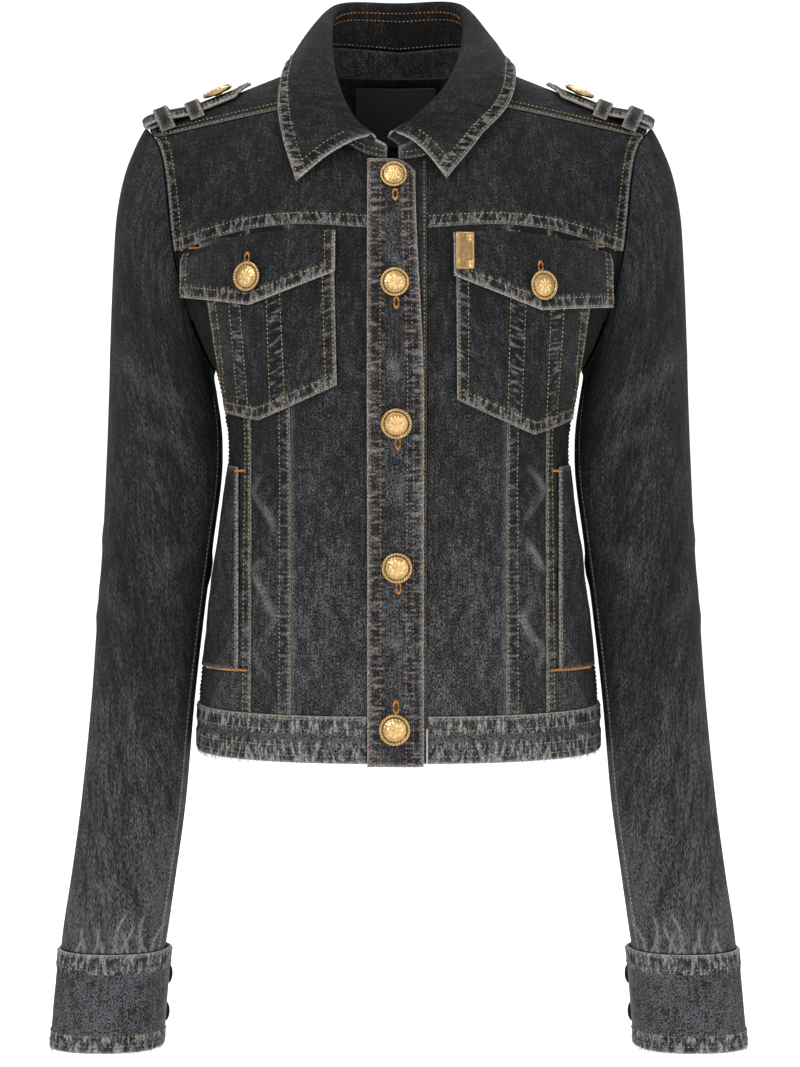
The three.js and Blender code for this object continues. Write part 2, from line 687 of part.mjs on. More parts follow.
const placket = (c, r) => {
  const beyond = (x) => clamp((x - SLANT.from) / (PLACKET.topRight - SLANT.from));
  const slanted = (x) => PLACKET.top - SLANT.drop * beyond(x) ** 2;
  const right = mix(PLACKET.right, PLACKET.topRight, ease((r - 0.62) / 0.38));
  const x = mix(PLACKET.left, right, c);
  return spot(-1, x, mix(PLACKET.bottom, slanted(x), r));
};
add("placket", wall(placket, 4, 20, { low: LAY_GAP, high: LAY_GAP + DOUBLED }));
const underlap = (c, r) => {
  const x = mix(UNDERLAP.left, UNDERLAP.right, c);
  const top = mix(UNDERLAP.top, UNDERLAP.top + 2, clamp(x / UNDERLAP.right));
  return spot(-1, x, mix(HEM_Z, top, r));
};
add("underlap", wall(underlap, 2, 18, { low: -CLOTH, high: 0 }));

// Collar

const collarWall = { low: -COLLAR_THICKNESS, high: 0, core: collarCore, seenAt: [0.5, 0.8] };
add("collar", wall(collarSurface, 28, 12, collarWall));
add("collar_stand", wall(standSurface, 26, 2, { low: -DOUBLED / 2, high: DOUBLED / 2 }));

// Pockets, flaps, welts

function pocket(side, size) {
  const toInner = (x) => (x - size.innerBottom) / (size.pointX - size.innerBottom);
  const toOuter = (x) => (x - size.pointX) / (size.outerBottom - size.pointX);
  const bottom = (x) => (x < size.pointX
    ? mix(size.innerZ, size.pointZ, clamp(toInner(x)))
    : mix(size.pointZ, size.outerZ, clamp(toOuter(x))));
  return (c, r) => {
    let x = mix(size.innerBottom, size.outerBottom, c);
    let z = 0;
    let t = 0;
    for (let pass = 0; pass < 8; pass += 1) {
      z = mix(bottom(x), size.topZ, r);
      const nearAngle = angleAt(mix(size.innerBottom, size.innerTop, r), z);
      const farAngle = angleAt(mix(size.outerBottom, size.outerTop, r), z);
      t = mix(nearAngle, farAngle, c);
      x = bodyPoint(-1, t, z).x;
    }
    return mirrored(side, bodyPoint(-1, t, z));
  };
}

function flap(side, size) {
  return (c, r) => {
    const pointShare = (size.pointX - size.inner) / (size.outer - size.inner);
    const share = c < 0.5 ? mix(0, pointShare, 2 * c) : mix(pointShare, 1, 2 * c - 1);
    const x = mix(size.inner, size.outer, share);
    const toPoint = mix(size.innerZ, size.pointZ, 2 * c);
    const edge = c < 0.5 ? toPoint : mix(size.pointZ, size.outerZ, 2 * c - 1);
    return spot(-1, side * x, mix(edge, chestSeamZ(x) - size.drop, r));
  };
}

const FLAP_LOW = 2 * LAY_GAP + POCKET_THICKNESS;
for (const { side, name } of SIDES) {
  const lift = (c) => POCKET_SIDE_GAP * c ** 2;
  const layer = { low: LAY_GAP, high: LAY_GAP + POCKET_THICKNESS, lift };
  add(`pocket_${name}`, wall(pocket(side, POCKETS[name]), 10, 10, layer));
  const over = { low: FLAP_LOW, high: FLAP_LOW + DOUBLED, lift };
  add(`flap_${name}`, wall(flap(side, FLAPS[name]), 8, 3, over));
  const welt = (c, r) => {
    const z = mix(WELT.bottom, WELT.top, r);
    const t = mix(angleAt(WELT.inner, z), WELT.outerAngle, c);
    return mirrored(side, bodyPoint(-1, t, z));
  };
  add(`welt_${name}`, wall(welt, 3, 9, { low: LAY_GAP, high: LAY_GAP + DOUBLED }));
}

// Sleeves and cuffs

for (const { side, name } of SIDES) {
  const front = (r) => degrees(mix(SLEEVE_SEAMS.frontTop, SLEEVE_SEAMS.frontCuff, r));
  const back = still(degrees(SLEEVE_SEAMS.back));
  const hair = 0.006;
  const core = sleeveCore(side);
  const top = sleevePiece(side, (r) => front(r) - hair, (r) => back(r) - 2 * Math.PI + hair);
  add(`sleeve_top_${name}`, wall(top, 12, 18, { low: -CLOTH, high: 0, core }));
  const under = sleevePiece(side, (r) => front(r) + hair, (r) => back(r) - hair);
  add(`sleeve_under_${name}`, wall(under, 4, 18, { low: -CLOTH, high: 0, core }));
  const turnRound = 2 * Math.PI + degrees(CUFF_DEPTH.overlap);
  const cuff = (c, r) => cuffPoint(side, CUFF_START + c * turnRound, r);
  const over = (c) => (CUFF_DEPTH.thickness + LAY_GAP) * ease((c - 0.84) / 0.085);
  const layer = { low: -CUFF_DEPTH.thickness + 0.6, high: 0.6, core: cuffCore(side), lift: over };
  add(`cuff_${name}`, wall(cuff, 30, 2, layer));
}

// Shoulder straps: a folded end at the sleeve, the long side up to the tip

function strapPlace(side, along, across) {
  const onBody = Math.min(along, STRAP.straightFrom);
  const place = leaningPoint(onBody / SHOULDER_X, across / STRAP.radius);
  const slope = (SHOULDER_Z - NECK_POINT_Z) / (SHOULDER_X - NECK_HALF);
  place.x += along - onBody;
  place.z += slope * (along - onBody);
  return mirrored(side, place);
}

function strapLift(side, along, across, lift) {
  const surface = (c, r) => strapPlace(side, mix(along - 2, along + 2, c), mix(across - 2, across + 2, r));
  const normal = normalOf(surface, 0.5, 0.5);
  const outward = lift * facing(surface, 0.5, 0.5, bodyCore);
  return strapPlace(side, along, across).addScaledVector(normal, outward);
}

const STRAP_LOW = STRAP.clear + STRAP.thickness;
const STRAP_FOLD = STRAP.roll - 8;

// The height of the strap's top face over the shoulder, highest beside its folded end
function strapTopLift(along, tip = STRAP.tip) {
  return mix(STRAP_LOW + STRAP_RISE + 2, STRAP_LOW, ease((2 * (STRAP_FOLD - along)) / (STRAP_FOLD - tip)));
}

function strapSurface(side) {
  return (c, r) => {
    const across = mix(STRAP.front, STRAP.back, r);
    const middle = (STRAP.front + STRAP.back) / 2;
    const pointed = Math.abs(across - middle) / ((STRAP.back - STRAP.front) / 2);
    const tip = mix(STRAP.tip, STRAP.shoulderWidth, pointed);
    if (c < 0.15) return strapLift(side, mix(STRAP.under, STRAP_FOLD, c / 0.15), across, STRAP_LOW);
    if (c < 0.4) {
      const turn = Math.PI * ((c - 0.15) / 0.25);
      const lift = mix(STRAP_LOW, strapTopLift(STRAP_FOLD), (1 - Math.cos(turn)) / 2);
      return strapLift(side, STRAP_FOLD + Math.sin(turn) * 6, across, lift);
    }
    const along = mix(STRAP_FOLD, tip, (c - 0.4) / 0.6);
    return strapLift(side, along, across, strapTopLift(along, tip));
  };
}

for (const { side, name } of SIDES) {
  const surface = strapSurface(side);
  add(`strap_${name}`, wall(surface, 16, 4, { low: -STRAP.thickness, high: 0, seenAt: [0.9, 0.5] }));
}

// Keeper loops over the straps

for (const { side, name } of SIDES) {
  KEEPERS.forEach((keeper, i) => {
    const over = strapTopLift(keeper.along + keeper.width / 2) + LAY_GAP;
    const surface = (c, r) => {
      const across = mix(STRAP.front - 5, STRAP.back + 5, r);
      const edge = Math.min(across - (STRAP.front - 5), STRAP.back + 5 - across);
      const lift = mix(KEEPER_FOOT, over, ease(edge / 4));
      return strapLift(side, keeper.along + mix(-keeper.width / 2, keeper.width / 2, c), across, lift);
    };
    add(`keeper_${name}_${i + 1}`, wall(surface, 1, 10, { low: 0, high: 1.5 }));
  });
}

// Metal buttons: a shank, a flat back, a rim and a domed face

function buttonShape(radius, seat) {
  const profile = [[0, seat], [3, seat], [3, 1.6], [radius - 1.2, 1.6], [radius, 2.6], [radius - 0.4, 3.6],
    [radius * 0.7, 4.8], [0, 6.4]];
  const shape = new THREE.LatheGeometry(profile.map(([r, h]) => new THREE.Vector2(r, h)), BUTTON_SIDES);
  return shape.rotateX(RIGHT_ANGLE);
}

function addButton(name, place, normal, radius, seat) {
  const mesh = add(name, buttonShape(radius, seat), "gold");
  mesh.position.copy(place);
  mesh.quaternion.setFromUnitVectors(point(0, 0, 1), normal);
}

function frontNormal(x, z) {
  const step = 3;
  const across = spot(-1, x + step, z).sub(spot(-1, x - step, z));
  const up = spot(-1, x, z + step).sub(spot(-1, x, z - step));
  return across.cross(up).normalize();
}

FRONT_BUTTONS.forEach(({ x, z, radius }, i) => {
  const normal = frontNormal(x, z);
  const place = spot(-1, x, z).addScaledVector(normal, LAY_GAP + DOUBLED);
  addButton(`button_front_${i + 1}`, place, normal, radius, 0.4);
});

for (const { side, name } of SIDES) {
  const { x, z } = POCKET_BUTTON[name];
  const normal = frontNormal(side * x, z);
  const place = spot(-1, side * x, z).addScaledVector(normal, FLAP_LOW + DOUBLED);
  addButton(`button_pocket_${name}`, place, normal, POCKET_BUTTON.radius, 0.5);
  const { along, across } = STRAP_BUTTON;
  const foot = strapLift(side, along, across, 0);
  const above = strapLift(side, along, across, 1);
  const strapNormal = above.clone().sub(foot).normalize();
  const onStrap = foot.clone().addScaledVector(strapNormal, strapTopLift(along) + 0.1);
  addButton(`button_strap_${name}`, onStrap, strapNormal, STRAP_BUTTON.radius, 0.5);
}

// Two small buttons close each cuff, on the side that faces the body

for (const { side, name } of SIDES) {
  CUFF_BUTTONS.forEach((z, i) => {
    const r = (z - CUFF.topZ) / (CUFF.bottomZ - CUFF.topZ);
    const angle = CUFF_START + degrees(CUFF_DEPTH.overlap / 2);
    const place = cuffPoint(side, angle, r);
    const next = cuffPoint(side, angle + 0.04, r);
    const below = cuffPoint(side, angle, r + 0.05);
    const normal = next.sub(place).cross(below.sub(place)).normalize();
    if (normal.dot(place.clone().sub(point(side * 208, -24, place.z))) < 0) normal.negate();
    place.addScaledVector(normal, CUFF_DEPTH.thickness + LAY_GAP + 0.6);
    addButton(`button_cuff_${name}_${i + 1}`, place, normal, CUFF_BUTTON_RADIUS, 0.5);
  });
}

// The bare metal plate on one flap, and the bare label at the back of the neck

const tab = (c, r) => {
  const z = mix(METAL_TAB.bottom, METAL_TAB.top, r);
  return spot(-1, mix(METAL_TAB.left, METAL_TAB.right, c), z);
};
const tabLow = FLAP_LOW + DOUBLED + LAY_GAP;
add("metal_tab", wall(tab, 2, 3, { low: tabLow, high: tabLow + METAL_TAB.thickness }), "gold");

const neckLabel = (c, r) => {
  const top = bodyPoint(1, RIGHT_ANGLE, 0).z - LABEL.topBelowNeck;
  return spot(1, mix(LABEL.left, LABEL.right, c), mix(top - LABEL.height, top, r));
};
const labelTop = -CLOTH - 2 * LAY_GAP;
add("neck_label", wall(neckLabel, 4, 5, { low: labelTop - WOVEN_LABEL, high: labelTop }), "label");

export default jacket;
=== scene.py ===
import json
import math
import random
import bpy
import numpy as np
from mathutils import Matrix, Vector

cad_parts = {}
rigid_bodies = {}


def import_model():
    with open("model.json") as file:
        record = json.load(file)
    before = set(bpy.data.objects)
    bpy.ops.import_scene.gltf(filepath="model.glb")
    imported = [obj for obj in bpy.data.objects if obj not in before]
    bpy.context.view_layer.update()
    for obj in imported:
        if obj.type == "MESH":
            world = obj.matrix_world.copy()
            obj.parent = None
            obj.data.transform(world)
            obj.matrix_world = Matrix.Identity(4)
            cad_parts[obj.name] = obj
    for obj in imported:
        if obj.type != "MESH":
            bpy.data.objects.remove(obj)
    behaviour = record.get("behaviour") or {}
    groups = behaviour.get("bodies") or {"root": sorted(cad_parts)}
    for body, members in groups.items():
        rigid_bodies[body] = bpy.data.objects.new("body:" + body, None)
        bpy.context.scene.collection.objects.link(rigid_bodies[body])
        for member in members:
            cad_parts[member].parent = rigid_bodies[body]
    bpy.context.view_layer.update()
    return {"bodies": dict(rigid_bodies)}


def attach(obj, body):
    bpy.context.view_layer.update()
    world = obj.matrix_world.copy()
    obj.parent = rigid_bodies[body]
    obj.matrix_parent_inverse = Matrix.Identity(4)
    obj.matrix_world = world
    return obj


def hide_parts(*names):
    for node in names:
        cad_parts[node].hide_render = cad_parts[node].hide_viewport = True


bl_info = {
    "name": "Washed Denim Jacket",
    "version": (1, 0, 0),
    "blender": (4, 5, 0),
    "location": "View3D > Sidebar > Jacket",
    "description": "A short washed black denim jacket, filled out as worn, with its sewing and metal buttons",
    "category": "Add Mesh",
}

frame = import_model()
BODY_NAME = next(iter(frame["bodies"]))
MM = 0.001
RIGHT_ANGLE = math.pi / 2
SIDES = ((-1, "left"), (1, "right"))
ROUNDS = 8
UP = np.array([0, 0, 1.0])

# Sizes of the cut, in millimetres

CLOTH = 1.6
DOUBLED = 2.4
LAY_GAP = 0.7
SEAM_GAP = 0.4
BUST_Z = -212
WAISTBAND_TOP = -449
HEM_Z = -482
BACK_YOKE_SEAM_Z = -96
NECK_HALF = 66
NECK_POINT_Z = 6
NECK_TOP_Z = 10
FRONT_NECK_DROP = 0.33
BACK_NECK_DROP = 0.036
SHOULDER_X = 178
SHOULDER_Y = 5
SHOULDER_Z = -38
ARMHOLE_HALF = 54
ARMHOLE_ROUNDNESS = 2.3
ARMHOLE_EASE = 2.5
BODY_ROUNDNESS = 2.4
FRONT_FULLNESS = 2
BACK_FULLNESS_CENTRE = 4.2
BACK_FULLNESS_SIDE = 2
BACK_FULLNESS_REACH = 0.6
PRINCESS_X = 75
SIDE_FRONT_X = 103.5
BACK_SEAM_X = 72
PAST_SIDE_X = 150
PANEL_EDGE = {"left": 18, "right": 20}
SLEEVE_ROUNDNESS = 2.3
CAP_RINGS = 3.5
SLEEVE_FRONT_SEAM = (166, 154)
SLEEVE_BACK_SEAM = 238
SHOULDER_SHARE = 0.36


def table(columns, *rows):
    """A short table as one array for each named column."""
    return {name: np.array([row[i] for row in rows], float) for i, name in enumerate(columns.split())}


BODY = table("z half front back",
             (-500, 144, 107, 103), (-446, 143, 105, 101), (-412, 139.5, 101, 98), (-346, 131.5, 97, 91),
             (-300, 124.5, 102, 91), (-270, 121.5, 109, 94), (-240, 124, 115, 99), (-212, 130, 118, 104))
ARMHOLE = table("height x",
                (0, 130), (0.1, 138), (0.25, 147), (0.5, 156.5), (0.8, 162.5), (0.92, 168), (1, 178))
CHEST_SEAM = table("x z",
                   (0, -112), (23, -111), (56, -109), (76, -109), (104, -112), (128, -118), (150, -125), (180, -134))
SLEEVE = table("ring out_x out_z in_x in_z half mid_y",
               (0, 181.2, -38, 131.2, -212, 54, 2), (1, 188, -51, 132.4, -215, 57, 2),
               (2, 196, -72, 132.2, -220, 58, 2), (3, 201.5, -100, 131, -227, 57.5, 2),
               (4, 204, -135, 129.6, -236, 57, 1), (5, 206, -178, 127.8, -248, 56, 1),
               (6, 207.5, -225, 126.6, -265, 55, 0), (7, 209.5, -275, 127.5, -292, 54, -1),
               (8, 212.5, -335, 134, -340, 51, -3), (9, 217, -395, 141, -396, 48.5, -5),
               (10, 221, -450, 147, -450, 46, -8), (11, 228, -520, 153, -520, 42, -14),
               (12, 235, -572, 160, -572, 38, -18), (13, 240, -604, 164.5, -604, 35, -21),
               (14, 242.5, -624, 167.5, -624, 34, -22))
LAST_RING = 14
CUFF = {"top_z": -624.6, "bottom_z": -695, "top_out": 243.5, "top_in": 167, "bottom_out": 250, "bottom_in": 172.5,
        "top_half": 35, "bottom_half": 32.5, "top_y": -22, "bottom_y": -27, "thickness": 2.6, "overlap": 26,
        "start": 196, "mid_x": 208, "mid_y": -24}
COLLAR_COLUMNS = "place seam_out seam_y seam_z fold_out fold_y fold_z edge_out edge_lean"
COLLAR = {
    "left": table(COLLAR_COLUMNS,
                  (0, 8, -88, -54, 19, -92, -47, 69.5, -52), (0.25, 38, -77, -38, 34, -84, -32, 79, -39.6),
                  (0.45, 55, -55, -13, 46, -60, -5, 83, -25.4), (0.62, 60, 2, 18, 50.5, -10, 27, 79, -6),
                  (0.8, 44, 50, 23, 45, 43, 53, 71, 22), (1, 0, 69, 21, 0, 64, 56, 0, 29)),
    "right": table(COLLAR_COLUMNS,
                   (0, 0, -89, -54, -3.6, -93, -45, 33, -53), (0.25, 28, -80, -41, 16, -88, -31, 56, -42.3),
                   (0.45, 53, -56, -14, 36, -66, -9, 77, -27.4), (0.62, 60, 2, 18, 48, -12, 22, 81, -5),
                   (0.8, 44, 50, 23, 45, 43, 53, 71, 22), (1, 0, 69, 21, 0, 64, 56, 0, 29)),
}
COLLAR_FOLD_RADIUS = 4
COLLAR_FOLD_END = 135
COLLAR_ROWS = {"stand": 2 / 12, "fold": 6 / 12}
COLLAR_BULGE = 5
COLLAR_REST = 6
STAND = {"inset": 0.97, "foot": -0.4, "below_seam": 0.8}
PLACKET = {"left": -21.5, "right": 17.3, "top_right": 11.5, "top": -64.2, "bottom": -484,
           "slant_from": -4, "slant": 9}
UNDERLAP = {"left": -17.6, "right": 19.6, "top": -64.2}
POCKETS = {
    "left": {"inner_top": 44.6, "inner_bottom": 42, "outer_top": 138, "outer_bottom": 119, "top": -118,
             "inner_z": -219, "point_x": 96, "point_z": -244, "outer_z": -240},
    "right": {"inner_top": 39.4, "inner_bottom": 40, "outer_top": 138, "outer_bottom": 120, "top": -120,
              "inner_z": -229, "point_x": 93, "point_z": -254, "outer_z": -245},
}
FLAPS = {
    "left": {"inner": 43, "outer": 149, "drop": 4, "inner_z": -142,
             "point_x": 101, "point_z": -164.5, "outer_z": -158},
    "right": {"inner": 37.5, "outer": 146, "drop": 5, "inner_z": -145,
              "point_x": 96.5, "point_z": -168, "outer_z": -165},
}
POCKET_THICKNESS = 1.8
POCKET_SIDE_GAP = 0.9
FLAP_LOW = 2 * LAY_GAP + POCKET_THICKNESS
WELT = {"inner": 111.5, "outer_angle": 0.22, "top": -278, "bottom": -421}
STRAP = {"tip": 104, "shoulder_width": 117, "roll": 183, "under": 163, "front": -24, "back": 15,
         "thickness": 2, "clear": 1.8, "straight_from": 148, "radius": 104, "rise": 3.2}
STRAP_LOW = STRAP["clear"] + STRAP["thickness"]
STRAP_FOLD = STRAP["roll"] - 8
KEEPERS = (146, 167)
KEEPER = {"width": 10, "foot": 1.2, "thickness": 1.5}
FRONT_BUTTONS = ((-3.3, -76.5, 9.5), (-2.5, -149.5, 10.1), (-1.5, -244.5, 10.8), (-1.1, -346, 10.8),
                 (-2.7, -458, 11))
POCKET_BUTTONS = {"left": (101, -145.5), "right": (96.5, -151.5)}
STRAP_BUTTON = {"along": 127.0, "across": -8.0}
CUFF_BUTTONS = (-647, -674)
BUTTON_RADIUS = {"pocket": 10.4, "strap": 11, "cuff": 7.5}
METAL_TAB = {"left": 38.6, "right": 51, "top": -116, "bottom": -141, "thickness": 1}
LABEL = {"left": -33, "right": 28, "below_neck": 3, "height": 44, "thickness": 1}


def mix(low, high, share):
    return low + (high - low) * share


def ease(share):
    share = np.clip(share, 0, 1)
    return share * share * (3 - 2 * share)


def unit(vectors):
    return vectors / np.linalg.norm(vectors, axis=-1, keepdims=True)


def arc_of(points):
    return np.concatenate([[0], np.cumsum(np.linalg.norm(np.diff(points, axis=0), axis=1))])


def read_line(at, arc, points):
    return np.array([np.interp(at, arc, points[:, k]) for k in range(3)])


def curve(rows, by, column):
    """A smooth curve through one column of a table, by another column that rises."""
    at, value = rows[by], rows[column]
    after, before = np.append(np.arange(1, len(at)), len(at) - 1), np.append(0, np.arange(len(at) - 1))
    slope = (value[after] - value[before]) / (at[after] - at[before])

    def read(where):
        inside = np.clip(np.asarray(where, float), at[0], at[-1])
        i = np.clip(np.searchsorted(at, inside, side="left") - 1, 0, len(at) - 2)
        span = at[i + 1] - at[i]
        s = (inside - at[i]) / span
        s2, s3 = s * s, s * s * s
        return ((2 * s3 - 3 * s2 + 1) * value[i] + (s3 - 2 * s2 + s) * span * slope[i]
                + (3 * s2 - 2 * s3) * value[i + 1] + (s3 - s2) * span * slope[i + 1])
    return read


half_width = curve(BODY, "z", "half")
front_depth = curve(BODY, "z", "front")
back_depth = curve(BODY, "z", "back")
armhole_x = curve(ARMHOLE, "height", "x")
chest_seam_z = curve(CHEST_SEAM, "x", "z")


# The body's surface: t turns from the side, 0, to the centre, and face is -1 in front and 1 behind

def section(t):
    power = 2 / BODY_ROUNDNESS
    return np.clip(np.cos(t), 0, 1) ** power, np.clip(np.sin(t), 0, 1) ** power


def shoulder_line_z(across):
    x = across * SHOULDER_X
    slope = (SHOULDER_Z - NECK_POINT_Z) / (SHOULDER_X - NECK_HALF)
    inside = mix(NECK_TOP_Z, NECK_POINT_Z, (x / NECK_HALF) ** 2)
    return np.where(x > NECK_HALF, NECK_POINT_Z + slope * (x - NECK_HALF), inside)


def fullness(face, across):
    behind = mix(BACK_FULLNESS_CENTRE, BACK_FULLNESS_SIDE, ease(across / BACK_FULLNESS_REACH))
    return np.where(np.asarray(face) < 0, FRONT_FULLNESS, behind)


def height_at(across, z):
    return np.clip((z - BUST_Z) / (shoulder_line_z(across) - BUST_Z), 0, 1)


def upper_point(face, across, forward, height):
    full = fullness(face, across)
    lean = np.clip(1 - height ** full, 0, 1) ** (1 / full)
    depth_here = np.where(np.asarray(face) < 0, front_depth(BUST_Z), back_depth(BUST_Z))
    round_hole = np.clip(1 - np.abs(2 * height - 1) ** ARMHOLE_ROUNDNESS, 0, 1) ** (1 / ARMHOLE_ROUNDNESS)
    depth = forward * depth_here * lean + (1 - forward) ** ARMHOLE_EASE * ARMHOLE_HALF * round_hole
    z = mix(BUST_Z, shoulder_line_z(across), height)
    return np.stack(np.broadcast_arrays(across * armhole_x(height), face * depth + SHOULDER_Y * height, z), -1)


def body_point(face, t, z):
    t, z = np.broadcast_arrays(np.asarray(t, float), np.asarray(z, float))
    across, forward = section(t)
    upper = upper_point(face, across, forward, height_at(across, z))
    depth = front_depth(z) if face < 0 else back_depth(z)
    lower = np.stack([half_width(z) * across, face * depth * forward, z], -1)
    return np.where((z > BUST_Z)[..., None], upper, lower)


def angle_at(x, z):
    across = np.clip(x / SHOULDER_X, 0, 1) + 0 * z
    for _ in range(ROUNDS):
        reach = np.where(z > BUST_Z, armhole_x(height_at(across, z)), half_width(z))
        across = np.clip(x / reach, 0, 1)
    return np.arccos(np.clip(across ** (BODY_ROUNDNESS / 2), 0, 1))


def mirrored(side, points):
    return points * np.array([side, 1, 1])


def spot(face, x, z):
    """A place on the front or back, by its signed distance from the centre and its height."""
    x, z = np.broadcast_arrays(np.asarray(x, float), np.asarray(z, float))
    points = body_point(face, angle_at(np.abs(x), z), z).copy()
    points[..., 0] *= np.where(x < 0, -1, 1)
    return points


def spot_normal(face, x, z):
    along = spot(face, x + 2, z) - spot(face, x - 2, z)
    up = spot(face, x, z + 2) - spot(face, x, z - 2)
    return unit(np.cross(along, up)) * -face


def panel(face, side, near, far, bottom, top):
    """A panel between two seams, at near and far from the centre, and two heights."""
    def surface(c, r):
        x = mix(near, PAST_SIDE_X if far is None else far, c) + 0 * r
        for _ in range(ROUNDS):
            z = mix(bottom, top(x) if callable(top) else top, r)
            far_angle = 0 if far is None else angle_at(far, z)
            t = mix(angle_at(near, z), far_angle, c)
            x = body_point(face, t, z)[..., 0]
        points = body_point(face, t, z)
        if far is None:
            points[..., 1] += face * SEAM_GAP / 2 * (c >= 1) * (z <= BUST_Z)
        return mirrored(side, points)
    return surface


# Neckline and shoulders

def shoulder_seam_height(across):
    return 0.811 + 0.146 * across


def front_neck_height(x):
    return np.where(x >= NECK_HALF, 1, 1 - FRONT_NECK_DROP * np.sqrt(np.clip(1 - (x / NECK_HALF) ** 2, 0, 1)))


def front_yoke(side, near):
    def surface(c, r):
        x = mix(near, PAST_SIDE_X, c) + 0 * r
        t = 0 * x
        for _ in range(ROUNDS):
            across = section(t)[0]
            low = height_at(across, chest_seam_z(x) + SEAM_GAP / 2)
            high = np.minimum(front_neck_height(x), shoulder_seam_height(across)) - 0.002
            height = mix(low, high, r)
            near_across = np.clip(near / armhole_x(height), 0, 1)
            t = mix(np.arccos(near_across ** (BODY_ROUNDNESS / 2)), 0, c)
            x = upper_point(-1, *section(t), height)[..., 0]
        return mirrored(side, upper_point(-1, *section(t), height))
    return surface


def neckline(turn):
    """The neckline from the front, 0, over the shoulder, 0.5, to the centre back, 1."""
    face = np.where(turn < 0.5, -1, 1)
    angle = np.abs(RIGHT_ANGLE * (1 - 2 * turn))
    drop = np.where(face < 0, FRONT_NECK_DROP, BACK_NECK_DROP)
    return face, NECK_HALF * np.cos(angle), 1 - drop * np.sin(angle)


def lean_of(face, across, height):
    return face * np.arccos(np.clip(height ** (fullness(face, across) / 2), 0, 1))


def leaning_point(across, lean):
    face = np.where(lean < 0, -1, 1)
    height = np.clip(np.cos(np.abs(lean)), 0, 1) ** (2 / fullness(face, across))
    forward = np.clip(1 - np.clip(across, 0, 1) ** BODY_ROUNDNESS, 0, 1) ** (1 / BODY_ROUNDNESS)
    return upper_point(face, np.clip(across, 0, 1), forward, height)


def neck_junction():
    turn = 0.335
    for _ in range(40):
        _, x, height = neckline(turn)
        turn += float(shoulder_seam_height(x / armhole_x(height)) - height) * 0.5
    return turn


JUNCTION = neck_junction()


def yoke_top(share):
    _, junction_x, junction_height = neckline(JUNCTION)
    near = junction_x / armhole_x(junction_height)
    seam_across = mix(1, near, share / SHOULDER_SHARE)
    seam_lean = lean_of(-1, seam_across, shoulder_seam_height(seam_across) + 0.004)
    turn = np.maximum(mix(JUNCTION, 1, (share - SHOULDER_SHARE) / (1 - SHOULDER_SHARE)), JUNCTION)
    face, x, height = neckline(turn)
    across = x / armhole_x(height)
    on_seam = share < SHOULDER_SHARE
    return np.where(on_seam, seam_across, across), np.where(on_seam, seam_lean, lean_of(face, across, height))


def back_yoke(c, r):
    side = np.where(c < 0.5, -1, 1)
    share = np.where(c < 0.5, 2 * c, 2 - 2 * c)
    top_across, top_lean = yoke_top(share)
    bottom_across = 1 - share
    bottom_height = height_at(bottom_across, BACK_YOKE_SEAM_Z + SEAM_GAP / 2)
    bottom_lean = lean_of(1, bottom_across, bottom_height)
    points = leaning_point(mix(top_across, bottom_across, r), mix(top_lean, bottom_lean, r)).copy()
    points[..., 0] *= side
    return points


def neck_place(turn):
    face, x, height = neckline(turn)
    across = x / armhole_x(height)
    return leaning_point(across, lean_of(face, across, height))


# Collar

COLLAR_CURVES = {side: {column: curve(rows, "place", column) for column in COLLAR_COLUMNS.split()[1:]}
                 for side, rows in COLLAR.items()}


def lifted_place(out, lean, lift):
    """A place lifted off the body, by its distance from the centre and its lean from the shoulder line."""
    def at(shift, turn):
        face = np.where(lean < 0, -1, 1)
        across = (out + shift) / armhole_x(np.clip(np.cos(lean), 0, 1) ** (2 / fullness(face, out / SHOULDER_X)))
        return leaning_point(across, lean + turn)
    return at(0, 0) + unit(np.cross(at(1, 0) - at(0, 0), at(0, 0.01) - at(0, -0.01))) * lift


def collar_columns(c, names):
    """The side, the place from the front end to the centre back, and the named columns there."""
    left = c < 0.5
    place = np.where(left, 2 * c, 2 - 2 * c)
    columns = [np.where(left, COLLAR_CURVES["left"][name](place), COLLAR_CURVES["right"][name](place))
               for name in names]
    return np.where(left, -1, 1), place, columns


def collar(c, r):
    side, _, columns = collar_columns(c, COLLAR_COLUMNS.split()[1:])
    seam_out, seam_y, seam_z, fold_out, fold_y, fold_z, edge_out, edge_lean = columns
    seam = np.stack([side * seam_out, seam_y, seam_z], -1)
    fold = np.stack([side * fold_out, fold_y, fold_z], -1)
    edge = lifted_place(edge_out, np.radians(edge_lean), COLLAR_REST).copy()
    edge[..., 0] *= side
    outward = unit((edge - seam) * (1, 1, 0))

    def on_fold(turn):
        turn = np.asarray(turn)[..., None]
        return fold + COLLAR_FOLD_RADIUS * (UP * (np.sin(turn) - 1) - outward * np.cos(turn))

    stand, folded, last = COLLAR_ROWS["stand"], COLLAR_ROWS["fold"], math.radians(COLLAR_FOLD_END)
    inside = mix(seam, on_fold(0 * r), np.clip(r / stand, 0, 1)[..., None])
    over = on_fold(last * np.clip((r - stand) / (folded - stand), 0, 1))
    share = np.clip((r - folded) / (1 - folded), 0, 1)
    bulge = (COLLAR_BULGE * np.sin(math.pi * share ** 0.7))[..., None]
    down = mix(on_fold(last + 0 * r), edge, share[..., None]) + bulge * (outward * 0.6 + UP * 0.5)
    return np.where((r < stand)[..., None], inside, np.where((r < folded)[..., None], over, down))


def collar_stand(c, r):
    side, place, (out, y, z) = collar_columns(c, ("seam_out", "seam_y", "seam_z"))
    base = neck_place(mix(np.where(c < 0.5, 0.04, 0), 1, place ** 0.9)).copy()
    base[..., 0] *= side * STAND["inset"]
    rise = np.stack([side * out, y, z], -1) - base
    length = np.linalg.norm(rise, axis=-1)
    return base + rise * (mix(STAND["foot"], length - STAND["below_seam"], r) / length)[..., None]


# Sleeves and cuffs

SLEEVE_CURVES = {column: curve(SLEEVE, "ring", column) for column in SLEEVE if column != "ring"}


